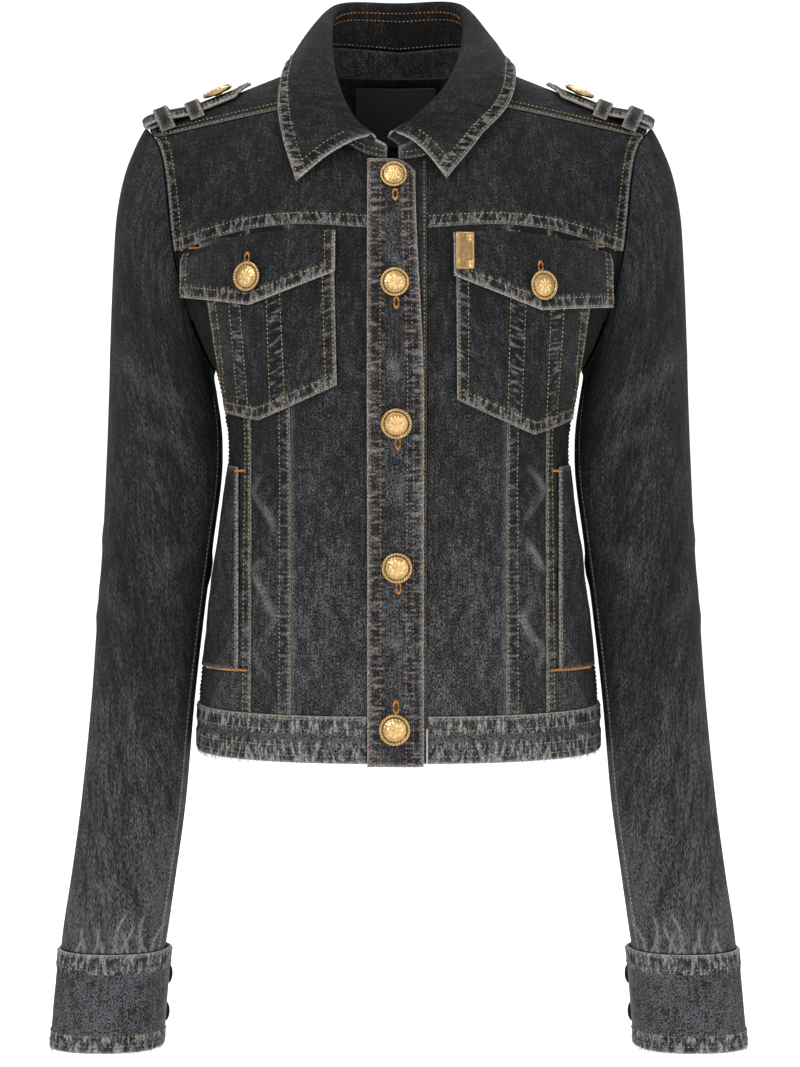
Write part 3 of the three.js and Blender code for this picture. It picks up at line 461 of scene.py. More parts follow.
def rounded(value, power):
    return np.sign(value) * np.abs(value) ** power


def sleeve_point(side, ring, angle):
    row = {name: read(ring) for name, read in SLEEVE_CURVES.items()}
    power = 2 / SLEEVE_ROUNDNESS
    height = (1 + rounded(np.cos(angle), power)) / 2
    cap = 1 - ease(ring / CAP_RINGS)
    x = mix(row["in_x"], row["out_x"], height) + cap * (armhole_x(height) - mix(ARMHOLE["x"][0], SHOULDER_X, height))
    y = mix(row["mid_y"], SHOULDER_Y * height, cap) - row["half"] * rounded(np.sin(angle), power)
    return np.stack(np.broadcast_arrays(side * x, y, mix(row["in_z"], row["out_z"], height)), -1)


def sleeve_piece(side, start, end):
    return lambda c, r: sleeve_point(side, r * LAST_RING, mix(start(r), end(r), c))


def cuff_point(side, angle, r):
    power = 2 / SLEEVE_ROUNDNESS
    out_x, in_x, middle, half, z = (mix(CUFF["top_" + name], CUFF["bottom_" + name], r)
                                    for name in ("out", "in", "y", "half", "z"))
    x = mix(in_x, out_x, (1 + rounded(np.cos(angle), power)) / 2)
    return np.stack(np.broadcast_arrays(side * x, middle - half * rounded(np.sin(angle), power), z), -1)


# Shoulder straps

def strap_place(side, along, across):
    on_body = np.minimum(along, STRAP["straight_from"])
    points = leaning_point(on_body / SHOULDER_X, across / STRAP["radius"]).copy()
    slope = (SHOULDER_Z - NECK_POINT_Z) / (SHOULDER_X - NECK_HALF)
    points[..., 0] += along - on_body
    points[..., 2] += slope * (along - on_body)
    return mirrored(side, points)


def strap_normal(side, along, across):
    normal = unit(np.cross(strap_place(side, along + 2, across) - strap_place(side, along - 2, across),
                           strap_place(side, along, across + 2) - strap_place(side, along, across - 2)))
    return normal * np.where(normal[..., 2:] < 0, -1, 1)


def strap_lift(side, along, across, lift):
    along, across, lift = np.broadcast_arrays(along, across, lift)
    return strap_place(side, along, across) + strap_normal(side, along, across) * lift[..., None]


def strap_top_lift(along, tip=STRAP["tip"]):
    share = ease(2 * (STRAP_FOLD - along) / (STRAP_FOLD - tip))
    return mix(STRAP_LOW + STRAP["rise"] + 2, STRAP_LOW, share)


def strap(side):
    def surface(c, r):
        across = mix(STRAP["front"], STRAP["back"], r)
        middle, half = (STRAP["front"] + STRAP["back"]) / 2, (STRAP["back"] - STRAP["front"]) / 2
        tip = mix(STRAP["tip"], STRAP["shoulder_width"], np.abs(across - middle) / half)
        turn = math.pi * np.clip((c - 0.15) / 0.25, 0, 1)
        under = mix(STRAP["under"], STRAP_FOLD, np.clip(c / 0.15, 0, 1))
        over = mix(STRAP_FOLD, tip, np.clip((c - 0.4) / 0.6, 0, 1))
        along = np.where(c < 0.15, under, np.where(c < 0.4, STRAP_FOLD + np.sin(turn) * 6, over))
        rolled = mix(STRAP_LOW, strap_top_lift(STRAP_FOLD), (1 - np.cos(turn)) / 2)
        lift = np.where(c < 0.15, STRAP_LOW, np.where(c < 0.4, rolled, strap_top_lift(over, tip)))
        return strap_lift(side, along, across, lift)
    return surface


# Meshes

def noise(value, seed, octaves=3):
    """An uneven wave from a few sines, the same each time."""
    total = 0
    for i in range(octaves):
        sway = 1.3 * np.sin(value * 0.37 * (i + 1) + seed)
        total = total + np.sin(value * (1 + 0.83 * i) + seed * (1.7 + i) + sway) / (1 + i)
    return total / 1.6


def new_object(name, vertices, faces, material):
    mesh = bpy.data.meshes.new(name)
    mesh.from_pydata(np.asarray(vertices).tolist(), [], faces.tolist() if isinstance(faces, np.ndarray) else faces)
    mesh.polygons.foreach_set("use_smooth", [True] * len(mesh.polygons))
    mesh.materials.append(material)
    mesh.update()
    made = bpy.data.objects.new(name, mesh)
    bpy.context.scene.collection.objects.link(made)
    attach(made, BODY_NAME)
    return made


def set_values(made, name, values):
    attribute = made.data.attributes.new(name, "FLOAT", "POINT")
    attribute.data.foreach_set("value", values.astype(np.float32))


def wall_faces(rows, columns):
    """The quads of a thin wall: its top, its underside and its four rims."""
    top = np.arange(rows * columns).reshape(rows, columns)
    under = top + rows * columns
    faces = [np.stack([top[:-1, :-1], top[:-1, 1:], top[1:, 1:], top[1:, :-1]], -1).reshape(-1, 4),
             np.stack([under[:-1, :-1], under[1:, :-1], under[1:, 1:], under[:-1, 1:]], -1).reshape(-1, 4)]
    for line, other, flip in ((top[0], under[0], True), (top[-1], under[-1], False),
                              (top[:, 0], under[:, 0], False), (top[:, -1], under[:, -1], True)):
        rim = np.stack([line[:-1], line[1:], other[1:], other[:-1]], -1)
        faces.append(rim[:, ::-1] if flip else rim)
    return np.concatenate(faces)


def graded(length, spacing, first_band, last_band):
    """Shares along a length, close together over the turned edges and the sewn bands."""
    steps = (0.9, 1.9, 3.1, 4.4, 5.7, 7.0, 8.2, 9.4, 10.7, 12.0, 13.4, 15.0)

    def edge(width):
        return [step for step in steps if step < min(width + 3 if width else 1, length * 0.45)]

    low, high = edge(first_band), edge(last_band)
    start, stop = (low[-1] if low else 0), length - (high[-1] if high else 0)
    count = max(2, int(round((stop - start) / spacing)))
    middle = np.linspace(start, stop, count + 1)
    return np.unique(np.concatenate([[0], low, middle, [length - step for step in high], [length]])) / length


def body_core(points):
    return np.stack([0 * points[..., 0], 0 * points[..., 1], np.minimum(points[..., 2], -70) - 20], -1)


EDGES = ("near", "far", "bottom", "top")


class Cloth:
    """A thin wall of cloth over surface(c, r), with its turned edges, seam bands and creases."""

    def __init__(self, name, surface, low, high, relief=None, crease=None, fade=None, core=body_core,
                 seen_at=(0.5, 0.5), spacing=3.6, wear=EDGES, worn=0.55, marks=None, rubbed=0.18,
                 drawn=None, sewn=0.62, material="denim"):
        self.name = name
        width = dict.fromkeys(EDGES, 0)
        width.update({edge: wide for edge, wide, _ in (relief.seams if relief else ())})
        base, c, r = self.lay_grid(surface, spacing, width, drawn)
        normal = np.cross(np.gradient(base, self.c, axis=1), np.gradient(base, self.r, axis=0))
        normal /= np.maximum(np.linalg.norm(normal, axis=-1, keepdims=True), 1e-9)
        i, j = int(seen_at[1] * (len(self.r) - 1)), int(seen_at[0] * (len(self.c) - 1))
        self.sign = -1 if np.dot(normal[i, j], base[i, j] - core(base)[i, j]) < 0 else 1
        self.normal = normal = normal * self.sign
        arc_c, arc_r = (
            np.concatenate([0 * first, np.cumsum(np.linalg.norm(np.diff(base, axis=axis), axis=-1), axis)], axis)
            for axis, first in ((1, base[:, :1, 0]), (0, base[:1, :, 0])))
        self.edges = {"near": arc_c, "far": arc_c[:, -1:] - arc_c, "bottom": arc_r, "top": arc_r[-1:] - arc_r}
        edge = np.minimum.reduce(list(self.edges.values()))
        raised = relief(self, base, c, r) if relief else 0 * edge
        moved = crease(self, base, c, r) if crease else 0 * edge
        worn_edge = np.maximum.reduce([0 * edge] + [np.exp(-self.edges[side] / 0.9) for side in wear])
        self.values = {"wear": np.clip(worn_edge * worn, 0, 1), "fade": fade(base) if fade else 0.35 + 0 * edge,
                       "crest": np.clip((moved - 0.25) * rubbed, 0, 1)}
        for name, pair in (("band_upright", EDGES[:2]), ("band_level", EDGES[2:])):
            masks = [sewn_mask(self.edges[side], width[side]) for side in pair if width[side]]
            self.values[name] = sewn * np.maximum.reduce([0 * edge] + masks)
        if drawn:
            gathers = drawn(base)
            self.values["crest"] = np.maximum(self.values["crest"], gathers)
            moved = moved + 0.7 * gathers
        if marks:
            mask = marks(base)
            self.values["band_upright"] = np.maximum(self.values["band_upright"], 0.8 * mask)
            moved = moved + 0.45 * mask
        turned = 0.35 * (high - low) * (1 - np.clip(edge / 0.9, 0, 1)) ** 2
        self.top = base + normal * (high + raised + moved - turned)[..., None]
        under = base + normal * (low + moved + turned * 0.6)[..., None]
        diagonal = np.cross(base[1:, 1:] - base[:-1, :-1], base[1:, :-1] - base[:-1, 1:])
        self.flat_area = 0.5 * np.linalg.norm(diagonal, axis=-1).sum()
        self.make(under, np.stack([arc_c - arc_c[:, -1:] / 2, arc_r], -1), MATERIALS[material])

    def lay_grid(self, surface, spacing, width, drawn):
        """Lay c and r over the surface, closer where it turns, is sewn or is drawn together."""
        step = np.linspace(0, 1, 33)
        sample = surface(*np.meshgrid(step, step))
        across = np.linalg.norm(np.diff(sample, axis=1), axis=-1).sum(1).max()
        along = np.linalg.norm(np.diff(sample, axis=0), axis=-1).sum(0).max()
        self.size = (across, along)
        self.c = graded(across, spacing, width["near"], width["far"])
        self.r = graded(along, spacing, width["bottom"], width["top"])
        if drawn:
            self.c = np.linspace(0, 1, int(across / 1.5))
            self.r = np.unique(np.concatenate([self.r, np.linspace(1 - 46 / along, 1, 26)]))
        c, r = np.meshgrid(self.c, self.r)
        return surface(c, r), c, r

    def make(self, under, placed, material):
        faces = wall_faces(len(self.r), len(self.c))
        if self.sign < 0:
            faces = faces[:, ::-1]
        vertices = np.concatenate([self.top.reshape(-1, 3), under.reshape(-1, 3)]) * MM
        self.object = new_object(self.name, vertices, faces, material)
        for name, values in self.values.items():
            inside = values if name == "fade" else values * 0.2
            set_values(self.object, name, np.concatenate([values.ravel(), inside.ravel()]))
        mesh = self.object.data
        uv = np.tile(placed.reshape(-1, 2) * MM, (2, 1))
        loops = np.empty(len(mesh.loops), np.int32)
        mesh.loops.foreach_get("vertex_index", loops)
        mesh.uv_layers.new(name="cloth").data.foreach_set("uv", uv[loops].ravel().astype(np.float32))

    def declare(self, nodes, held="hung", rests_on=(), slot="denim"):
        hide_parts(*nodes)
        width, length = self.size
        area = float(np.clip(self.flat_area, 0.301 * width * length, 0.999 * width * length))
        list(rests_on)
        return self

    def beside(self, edge, distance, start=0.0, end=1.0):
        """A line on the cloth, a distance in from one edge, between two shares of its length."""
        upright = edge in EDGES[:2]
        arc = self.edges[edge] if upright else self.edges[edge].T
        share = self.r if upright else self.c
        keep = (share >= start) & (share <= end)
        return tuple(np.array([read_line(distance, row[::1 if row[0] < row[-1] else -1],
                                         place[::1 if row[0] < row[-1] else -1])
                               for row, place in zip(arc, grid if upright else grid.transpose(1, 0, 2))])[keep]
                     for grid in (self.top, self.normal))

    def through(self, places):
        """A line through places given as (c, r)."""
        share = np.linspace(0, len(places) - 1, 60)
        c, r = (np.interp(share, range(len(places)), values) for values in zip(*places))
        i = np.clip(np.searchsorted(self.r, r) - 1, 0, len(self.r) - 2)
        j = np.clip(np.searchsorted(self.c, c) - 1, 0, len(self.c) - 2)
        a = ((r - self.r[i]) / (self.r[i + 1] - self.r[i]))[:, None]
        b = ((c - self.c[j]) / (self.c[j + 1] - self.c[j]))[:, None]
        return tuple(mix(mix(grid[i, j], grid[i, j + 1], b), mix(grid[i + 1, j], grid[i + 1, j + 1], b), a)
                     for grid in (self.top, self.normal))


def sewn_mask(distance, width):
    return ease(distance / 0.9) * (1 - ease((distance - width) / 1.3))


def band(distance, width, height=0.5):
    """A felled seam's raised band beside an edge."""
    return height * (1 - ease((distance - width) / 1.4))


def puckers(along, distance, width, seed, height=0.45, pitch=6.5):
    """Ridges across a sewn band, where the thread draws the cloth together."""
    window = ease(distance / 1.5) * (1 - ease((distance - width) / 5))
    return height * window * noise(along * 2 * math.pi / pitch, seed)


def creases(base, rows, face=-1):
    """Soft ridges and troughs along lines from (x, z) to (x, z), with a width and a height."""
    total = 0 * base[..., 0]
    for x0, z0, x1, z1, width, height in rows:
        dx, dz = x1 - x0, z1 - z0
        length = math.hypot(dx, dz)
        share = ((base[..., 0] - x0) * dx + (base[..., 2] - z0) * dz) / length ** 2
        off = ((base[..., 0] - x0) * dz - (base[..., 2] - z0) * dx) / length
        off = off + 0.06 * length * np.sin(share * math.pi)
        ends = ease((share + 0.15) / 0.3) * ease((1.15 - share) / 0.3)
        total = total + height * np.exp(-(off / width) ** 2) * ends * (base[..., 1] * face > 0)
    return total


class SewnBands:
    """Relief of sewn bands, each given by its edge, its width and how much it puckers."""

    def __init__(self, seams, seed=0.0):
        self.seams, self.seed = seams, seed

    def __call__(self, cloth, base, c, r):
        total, drawn = 0 * c, 0 * c
        for i, (edge, width, pucker) in enumerate(self.seams):
            distance = cloth.edges[edge]
            along = cloth.edges["bottom"] if edge in ("near", "far") else cloth.edges["near"]
            if width:
                total = np.maximum(total, band(distance, width))
            drawn = drawn + puckers(along, distance, width, self.seed + 2.3 * i, pucker)
        return total + drawn


# Sewing: each stitch is a slim raised diamond

class Sewing:
    def __init__(self, name, material, slot="denim"):
        self.name, self.material, self.slot = name, material, slot
        self.vertices, self.faces = [], []
        self.count = 0

    def stitch(self, start, end, normal, width, height):
        along = end - start
        length = np.linalg.norm(along)
        if length < 1e-6:
            return
        sideways = np.cross(normal, along / length)
        middle = (start + end) / 2
        self.vertices += [start, end, middle + sideways * width / 2, middle - sideways * width / 2,
                          middle + normal * height, middle - normal * 0.3]
        n = self.count
        self.faces += [(n, n + 2, n + 4), (n + 2, n + 1, n + 4), (n + 1, n + 3, n + 4), (n + 3, n, n + 4),
                       (n + 2, n, n + 5), (n + 1, n + 2, n + 5), (n + 3, n + 1, n + 5), (n, n + 3, n + 5)]
        self.count += 6

    def row(self, line, pitch, length=2.4, width=1.0, height=0.65):
        points, normals = line
        arc = arc_of(points)
        for at in np.arange(pitch / 2, arc[-1] - pitch / 2, pitch):
            normal = unit(read_line(at, arc, normals))
            start, end = (read_line(at + shift, arc, points) + normal * 0.08 for shift in (-length / 2, length / 2))
            self.stitch(start, end, normal, width, height)

    def bar_tack(self, start, end, normal, width=2.2):
        """A dense bar of cross stitches."""
        along = end - start
        length = np.linalg.norm(along)
        sideways = np.cross(normal, along / length) * width / 2
        count = int(length / 0.75)
        for i in range(count):
            at = start + along * (i + 0.5) / count
            lean = along / length * 0.5
            self.stitch(at - sideways - lean, at + sideways + lean, normal, 0.85, 0.8)

    def buttonhole(self, centre, normal, length=11, width=5.4):
        """A worked keyhole with its slit upright."""
        up = unit(UP - normal * normal[2])
        sideways = np.cross(up, normal)
        stitches = 34
        for i in range(stitches):
            turn = 2 * math.pi * i / stitches
            out = sideways * math.cos(turn) * 0.5 + up * rounded(math.sin(turn), 0.8) * (length / width) * 0.5
            self.stitch(centre + out * width * 0.42, centre + out * width, normal, 1.1, 0.9)

    def finish(self):
        made = new_object(self.name, np.array(self.vertices) * MM, self.faces, MATERIALS[self.material])
        return made


def on_front(places, lift):
    """A line over the front through (x, z) places, lifted off the body."""
    share = np.linspace(0, len(places) - 1, 40 * (len(places) - 1))
    x, z = (np.interp(share, range(len(places)), values) for values in zip(*places))
    normal = spot_normal(-1, x, z)
    return spot(-1, x, z) + normal * lift, normal


# Materials

def node(tree, kind, **settings):
    made = tree.nodes.new(kind)
    for key, value in settings.items():
        setattr(made, key, value)
    return made


def math_node(tree, operation, a, b=None, clamp=False):
    made = node(tree, "ShaderNodeMath", operation=operation, use_clamp=clamp)
    for socket, value in zip(made.inputs, (a, b)):
        if isinstance(value, (int, float)):
            socket.default_value = value
        elif value is not None:
            tree.links.new(value, socket)
    return made.outputs[0]


def scaled(tree, vector, scale):
    made = node(tree, "ShaderNodeVectorMath", operation="MULTIPLY")
    tree.links.new(vector, made.inputs[0])
    made.inputs[1].default_value = scale
    return made.outputs[0]


def noise_node(tree, vector, scale, detail=2.0, roughness=0.5):
    made = node(tree, "ShaderNodeTexNoise")
    made.inputs["Scale"].default_value = scale
    made.inputs["Detail"].default_value = detail
    made.inputs["Roughness"].default_value = roughness
    tree.links.new(vector, made.inputs["Vector"])
    return made.outputs["Fac"]


def between(tree, value, low, high, to_low=0.0, to_high=1.0):
    made = node(tree, "ShaderNodeMapRange", interpolation_type="SMOOTHSTEP")
    tree.links.new(value, made.inputs["Value"])
    for name, number in (("From Min", low), ("From Max", high), ("To Min", to_low), ("To Max", to_high)):
        made.inputs[name].default_value = number
    return made.outputs["Result"]


def mixed_colour(tree, factor, low, high):
    made = node(tree, "ShaderNodeMix", data_type="RGBA")
    tree.links.new(factor, made.inputs["Factor"])
    for socket, value in ((made.inputs["A"], low), (made.inputs["B"], high)):
        if isinstance(value, (tuple, list)):
            socket.default_value = (*value, 1)
        else:
            tree.links.new(value, socket)
    return made.outputs["Result"]


def group(name, inputs, outputs):
    made = bpy.data.node_groups.new(name, "ShaderNodeTree")
    for label, kind in inputs:
        made.interface.new_socket(name=label, in_out="INPUT", socket_type=kind)
    for label, kind in outputs:
        made.interface.new_socket(name=label, in_out="OUTPUT", socket_type=kind)
    return made, node(made, "NodeGroupInput"), node(made, "NodeGroupOutput")


def total_of(tree, *values):
    total = values[0]
    for value in values[1:]:
        total = math_node(tree, "ADD", total, value)
    return total


def product(tree, *values):
    total = values[0]
    for value in values[1:]:
        total = math_node(tree, "MULTIPLY", total, value)
    return total


def twill_group():
    """Washed twill: its flecks, slubs, wash marks, rubbed seams and painted shade in the troughs of the seam puckers
    as one lightness, and the weave's height.
    """
    names = ("Fade", "Wear", "Crest", "Upright band", "Level band")
    tree, given, out = group("Washed twill",
                             [("Cloth", "NodeSocketVector")] + [(name, "NodeSocketFloat") for name in names],
                             [(name, "NodeSocketFloat") for name in ("Lightness", "Worn", "Height")])
    cloth = given.outputs["Cloth"]
    fade, wear, crest, upright, level = (given.outputs[name] for name in names)

    def marks(across, along, detail, roughness=0.6):
        return noise_node(tree, scaled(tree, cloth, (across, along, 1)), 1.0, detail, roughness)

    def less(value, strength, clamp=False):
        taken = math_node(tree, "MULTIPLY", value, strength, clamp=clamp)
        return math_node(tree, "SUBTRACT", 1.0, taken, clamp=clamp)

    def along_bands(upright_range, level_range, level_strength=1.0):
        return total_of(tree, product(tree, upright, between(tree, across_upright, *upright_range)),
                        product(tree, level, between(tree, across_level, *level_range), level_strength))

    fleck, slub, wash, cloud = (marks(1050, 620, 2.0, 0.7), marks(520, 60, 3.0), marks(26, 17, 4.0),
                                marks(150, 110, 3.0))
    tone = product(tree, between(tree, fleck, 0.39, 0.63, 0.0, 1.6), between(tree, slub, 0.38, 0.62, 0.6, 1.35),
                   between(tree, wash, 0.36, 0.64, 0.6, 1.35), between(tree, cloud, 0.36, 0.64, 0.6, 1.35),
                   total_of(tree, math_node(tree, "MULTIPLY", fade, 1.45), 0.22))
    across_upright, across_level = marks(95, 330, 2.0), marks(330, 95, 2.0)
    rubbed = along_bands((0.5, 0.68), (0.47, 0.64), 1.7)
    # painted shade: the low parts along the sewn bands are darkened, as shade in the pucker troughs
    shaded_troughs = along_bands((0.5, 0.36), (0.5, 0.36))
    tone = product(tree, tone, less(math_node(tree, "MAXIMUM", upright, level), 0.22), less(shaded_troughs, 0.65, True))
    ragged = between(tree, fleck, 0.34, 0.6, 0.3, 1.1)
    worn = total_of(tree, product(tree, wear, ragged, 0.8), product(tree, rubbed, ragged, 0.32),
                    product(tree, crest, ragged, 0.3))
    wave = node(tree, "ShaderNodeTexWave", wave_type="BANDS", bands_direction="DIAGONAL")
    wave.inputs["Scale"].default_value = 1.0
    tree.links.new(scaled(tree, cloth, (330, 330, 1)), wave.inputs["Vector"])
    height = total_of(tree, product(tree, wave.outputs["Fac"], 0.35), product(tree, fleck, 0.8),
                      product(tree, cloud, 0.8), product(tree, rubbed, 0.5))
    tree.links.new(math_node(tree, "MULTIPLY", tone, 1.0, clamp=True), out.inputs["Lightness"])
    tree.links.new(math_node(tree, "MULTIPLY", worn, 1.0, clamp=True), out.inputs["Worn"])
    tree.links.new(height, out.inputs["Height"])
    return tree


def material(name, **settings):
    made = bpy.data.materials.new(name)
    made.use_nodes = True
    tree = made.node_tree
    tree.nodes.clear()
    shader = node(tree, "ShaderNodeBsdfPrincipled")
    for socket, value in settings.items():
        shader.inputs[socket.replace("_", " ")].default_value = value
    tree.links.new(shader.outputs["BSDF"], node(tree, "ShaderNodeOutputMaterial").inputs["Surface"])
    return made, tree, shader


def bump(tree, shader, height, distance, strength):
    made = node(tree, "ShaderNodeBump")
    made.inputs["Distance"].default_value = distance
    made.inputs["Strength"].default_value = strength
    tree.links.new(height, made.inputs["Height"])
    tree.links.new(made.outputs["Normal"], shader.inputs["Normal"])


def object_place(tree):
    return node(tree, "ShaderNodeTexCoord").outputs["Object"]


def denim_material(colours, twill):
    made, tree, shader = material("washed_black_denim", Roughness=0.88, Specular_IOR_Level=0.09, Sheen_Weight=0.01)
    placed = node(tree, "ShaderNodeGroup", node_tree=twill)
    tree.links.new(node(tree, "ShaderNodeUVMap", uv_map="cloth").outputs["UV"], placed.inputs["Cloth"])
    for label, attribute in (("Fade", "fade"), ("Wear", "wear"), ("Crest", "crest"),
                             ("Upright band", "band_upright"), ("Level band", "band_level")):
        read = node(tree, "ShaderNodeAttribute", attribute_name=attribute)
        tree.links.new(read.outputs["Fac"], placed.inputs[label])
    cloth_colour = mixed_colour(tree, placed.outputs["Lightness"],
                                tuple(colours.denim_dark), tuple(colours.denim_mid))
    colour = mixed_colour(tree, placed.outputs["Worn"], cloth_colour, tuple(colours.denim_pale))
    tree.links.new(colour, shader.inputs["Base Color"])
    bump(tree, shader, placed.outputs["Height"], 0.0006, 0.6)
    return made


def thread_material(name, colour, dark):
    made, tree, shader = material(name, Roughness=0.6)
    twist = noise_node(tree, object_place(tree), 900.0, 2.0)
    colour = mixed_colour(tree, between(tree, twist, 0.35, 0.65), dark, tuple(colour))
    tree.links.new(colour, shader.inputs["Base Color"])
    bump(tree, shader, twist, 0.0002, 0.4)
    return made


def gold_material(colours):
    made, tree, shader = material("antique_gold", Metallic=1.0)
    recess = node(tree, "ShaderNodeAttribute", attribute_name="recess").outputs["Fac"]
    tarnish = noise_node(tree, object_place(tree), 420.0, 3.0)
    dark = math_node(tree, "MULTIPLY", recess, between(tree, tarnish, 0.3, 0.6, 0.7, 1.0), clamp=True)
    tree.links.new(mixed_colour(tree, dark, tuple(colours.metal), (0.11, 0.062, 0.022)), shader.inputs["Base Color"])
    tree.links.new(between(tree, tarnish, 0.3, 0.7, 0.24, 0.4), shader.inputs["Roughness"])
    bump(tree, shader, tarnish, 0.0001, 0.25)
    return made


def label_material():
    made, tree, shader = material("black_woven_label", Roughness=0.55)
    ribs = node(tree, "ShaderNodeTexWave", wave_type="BANDS", bands_direction="Z")
    ribs.inputs["Scale"].default_value = 420.0
    tree.links.new(object_place(tree), ribs.inputs["Vector"])
    colour = mixed_colour(tree, ribs.outputs["Fac"], (0.009, 0.009, 0.009), (0.016, 0.016, 0.017))
    tree.links.new(colour, shader.inputs["Base Color"])
    bump(tree, shader, ribs.outputs["Fac"], 0.0002, 0.3)
    return made


def stage_material():
    made, tree, shader = material("pale_studio", Roughness=0.9, Emission_Color=(1, 1, 1, 1), Emission_Strength=0.3)
    colour = mixed_colour(tree, noise_node(tree, object_place(tree), 3.0, 2.0),
                          (0.93, 0.93, 0.93), (0.95, 0.95, 0.95))
    tree.links.new(colour, shader.inputs["Base Color"])
    return made


MATERIALS = {}


def make_materials(colours):
    MATERIALS["denim"] = denim_material(colours, twill_group())
    for name, colour, dark in (("gold_thread", colours.gold_thread, (0.10, 0.075, 0.035)),
                               ("brown_thread", colours.brown_thread, (0.10, 0.05, 0.025)),
                               ("orange_thread", colours.orange_thread, (0.28, 0.10, 0.02)),
                               ("pale_thread", (0.62, 0.62, 0.62), (0.3, 0.3, 0.32))):
        MATERIALS[name] = thread_material(name, colour, dark)
    MATERIALS["gold"] = gold_material(colours)
    MATERIALS["label"] = label_material()
    MATERIALS["stage"] = stage_material()


def colour_setting(name, description, default):
    return bpy.props.FloatVectorProperty(name=name, description=description, subtype="COLOR", size=3, min=0, max=1,
                                         default=default)


class JacketColours(bpy.types.PropertyGroup):
    denim_dark: colour_setting("Dark denim", "The unworn cloth", (0.0045, 0.0046, 0.005))
    denim_mid: colour_setting("Washed denim", "The washed cloth", (0.088, 0.090, 0.096))
    denim_pale: colour_setting("Worn denim", "Edges worn to the weft", (0.44, 0.43, 0.42))
    gold_thread: colour_setting("Gold thread", "Most of the topstitching", (0.46, 0.33, 0.15))
    brown_thread: colour_setting("Brown thread", "The stitching of the button band", (0.42, 0.23, 0.13))
    orange_thread: colour_setting("Orange thread", "Bar tacks and buttonholes", (0.62, 0.27, 0.06))
    metal: colour_setting("Button metal", "Antique gold of the buttons", (0.66, 0.44, 0.20))


class JacketSizes(bpy.types.PropertyGroup):
    stitch: bpy.props.FloatProperty(name="Stitch", description="Length from one stitch to the next", unit="LENGTH",
                                    subtype="DISTANCE", default=0.0031, min=0.002, max=0.006)
    fray: bpy.props.FloatProperty(name="Fray", description="Length of the raw hem's threads", unit="LENGTH",
                                  subtype="DISTANCE", default=0.0042, min=0.0, max=0.01)


def settings():
    return bpy.context.scene.jacket_colours, bpy.context.scene.jacket_sizes


CLOTHS = {}


def cut(piece, surface, low, high, held="hung", rests_on=(), shown_as=None, **look):
    """Cut a piece of cloth in place of its solid, and keep it for the sewing."""
    CLOTHS[piece] = Cloth(f"cloth_{shown_as or piece}", surface, low, high, **look)
    CLOTHS[piece].declare([piece], held, rests_on)


def even(value):
    return lambda base: value + 0 * base[..., 0]


def folds(rows, face=-1):
    return lambda cloth, base, c, r: creases(base, rows, face)


def bent(at, places, size, names):
    """A line with one bend, read from three named sizes."""
    return np.interp(at, places, [size[name] for name in names])


def raised_spot(x, z, lift):
    """A place over the front, and the way it faces."""
    normal = spot_normal(-1, x, z)
    return spot(-1, x, z) + normal * lift, normal


def body_fade(base):
    """The body is palest towards the hem."""
    low = ease((-150 - base[..., 2]) / 330)
    return -0.03 + 0.3 * low


def side_fade(base):
    return body_fade(base) - 0.07


def sleeve_fade(base):
    return 0.01 + 0.54 * ease((-380 - base[..., 2]) / 270)


def diamond_puckers(side, top, bottom):
    """The zigzag puckers down the narrow panel beside the welt."""
    def crease(cloth, base, c, r):
        z = base[..., 2]
        zone = ease((top - z) / 30) * ease((z - bottom) / 30)
        beat = z * 2 * math.pi / 52 + 0.6 * np.sin(z / 37)
        zigzag = (c - 0.62) * 2.2 - 0.5 * np.arcsin(0.96 * np.sin(beat))
        other = (c - 0.62) * 2.2 + 0.45 * np.sin(beat * 0.8 + 1)
        ridge = 1.9 * np.exp(-(zigzag / 0.34) ** 2) * (0.7 + 0.45 * noise(z / 9, side))
        return zone * (ridge + 1.0 * np.exp(-(other / 0.24) ** 2) * (0.5 + 0.5 * noise(z / 7, 3 + side)) - 0.6)
    return crease


BODY_CREASES = (
    (-26, -440, -34, -418, 3.5, 0.8), (-52, -442, -46, -424, 3, 0.8), (-66, -440, -58, -412, 3.5, 0.9),
    (30, -442, 38, -420, 3.5, 0.8), (48, -440, 44, -422, 3, 0.7), (64, -442, 56, -410, 3.5, 1.0),
    (28, -232, 38, -196, 4, 0.8), (-30, -214, -38, -176, 4, 0.7), (70, -352, 50, -338, 5, 0.6),
    (-70, -300, -52, -286, 5, 0.6),
)


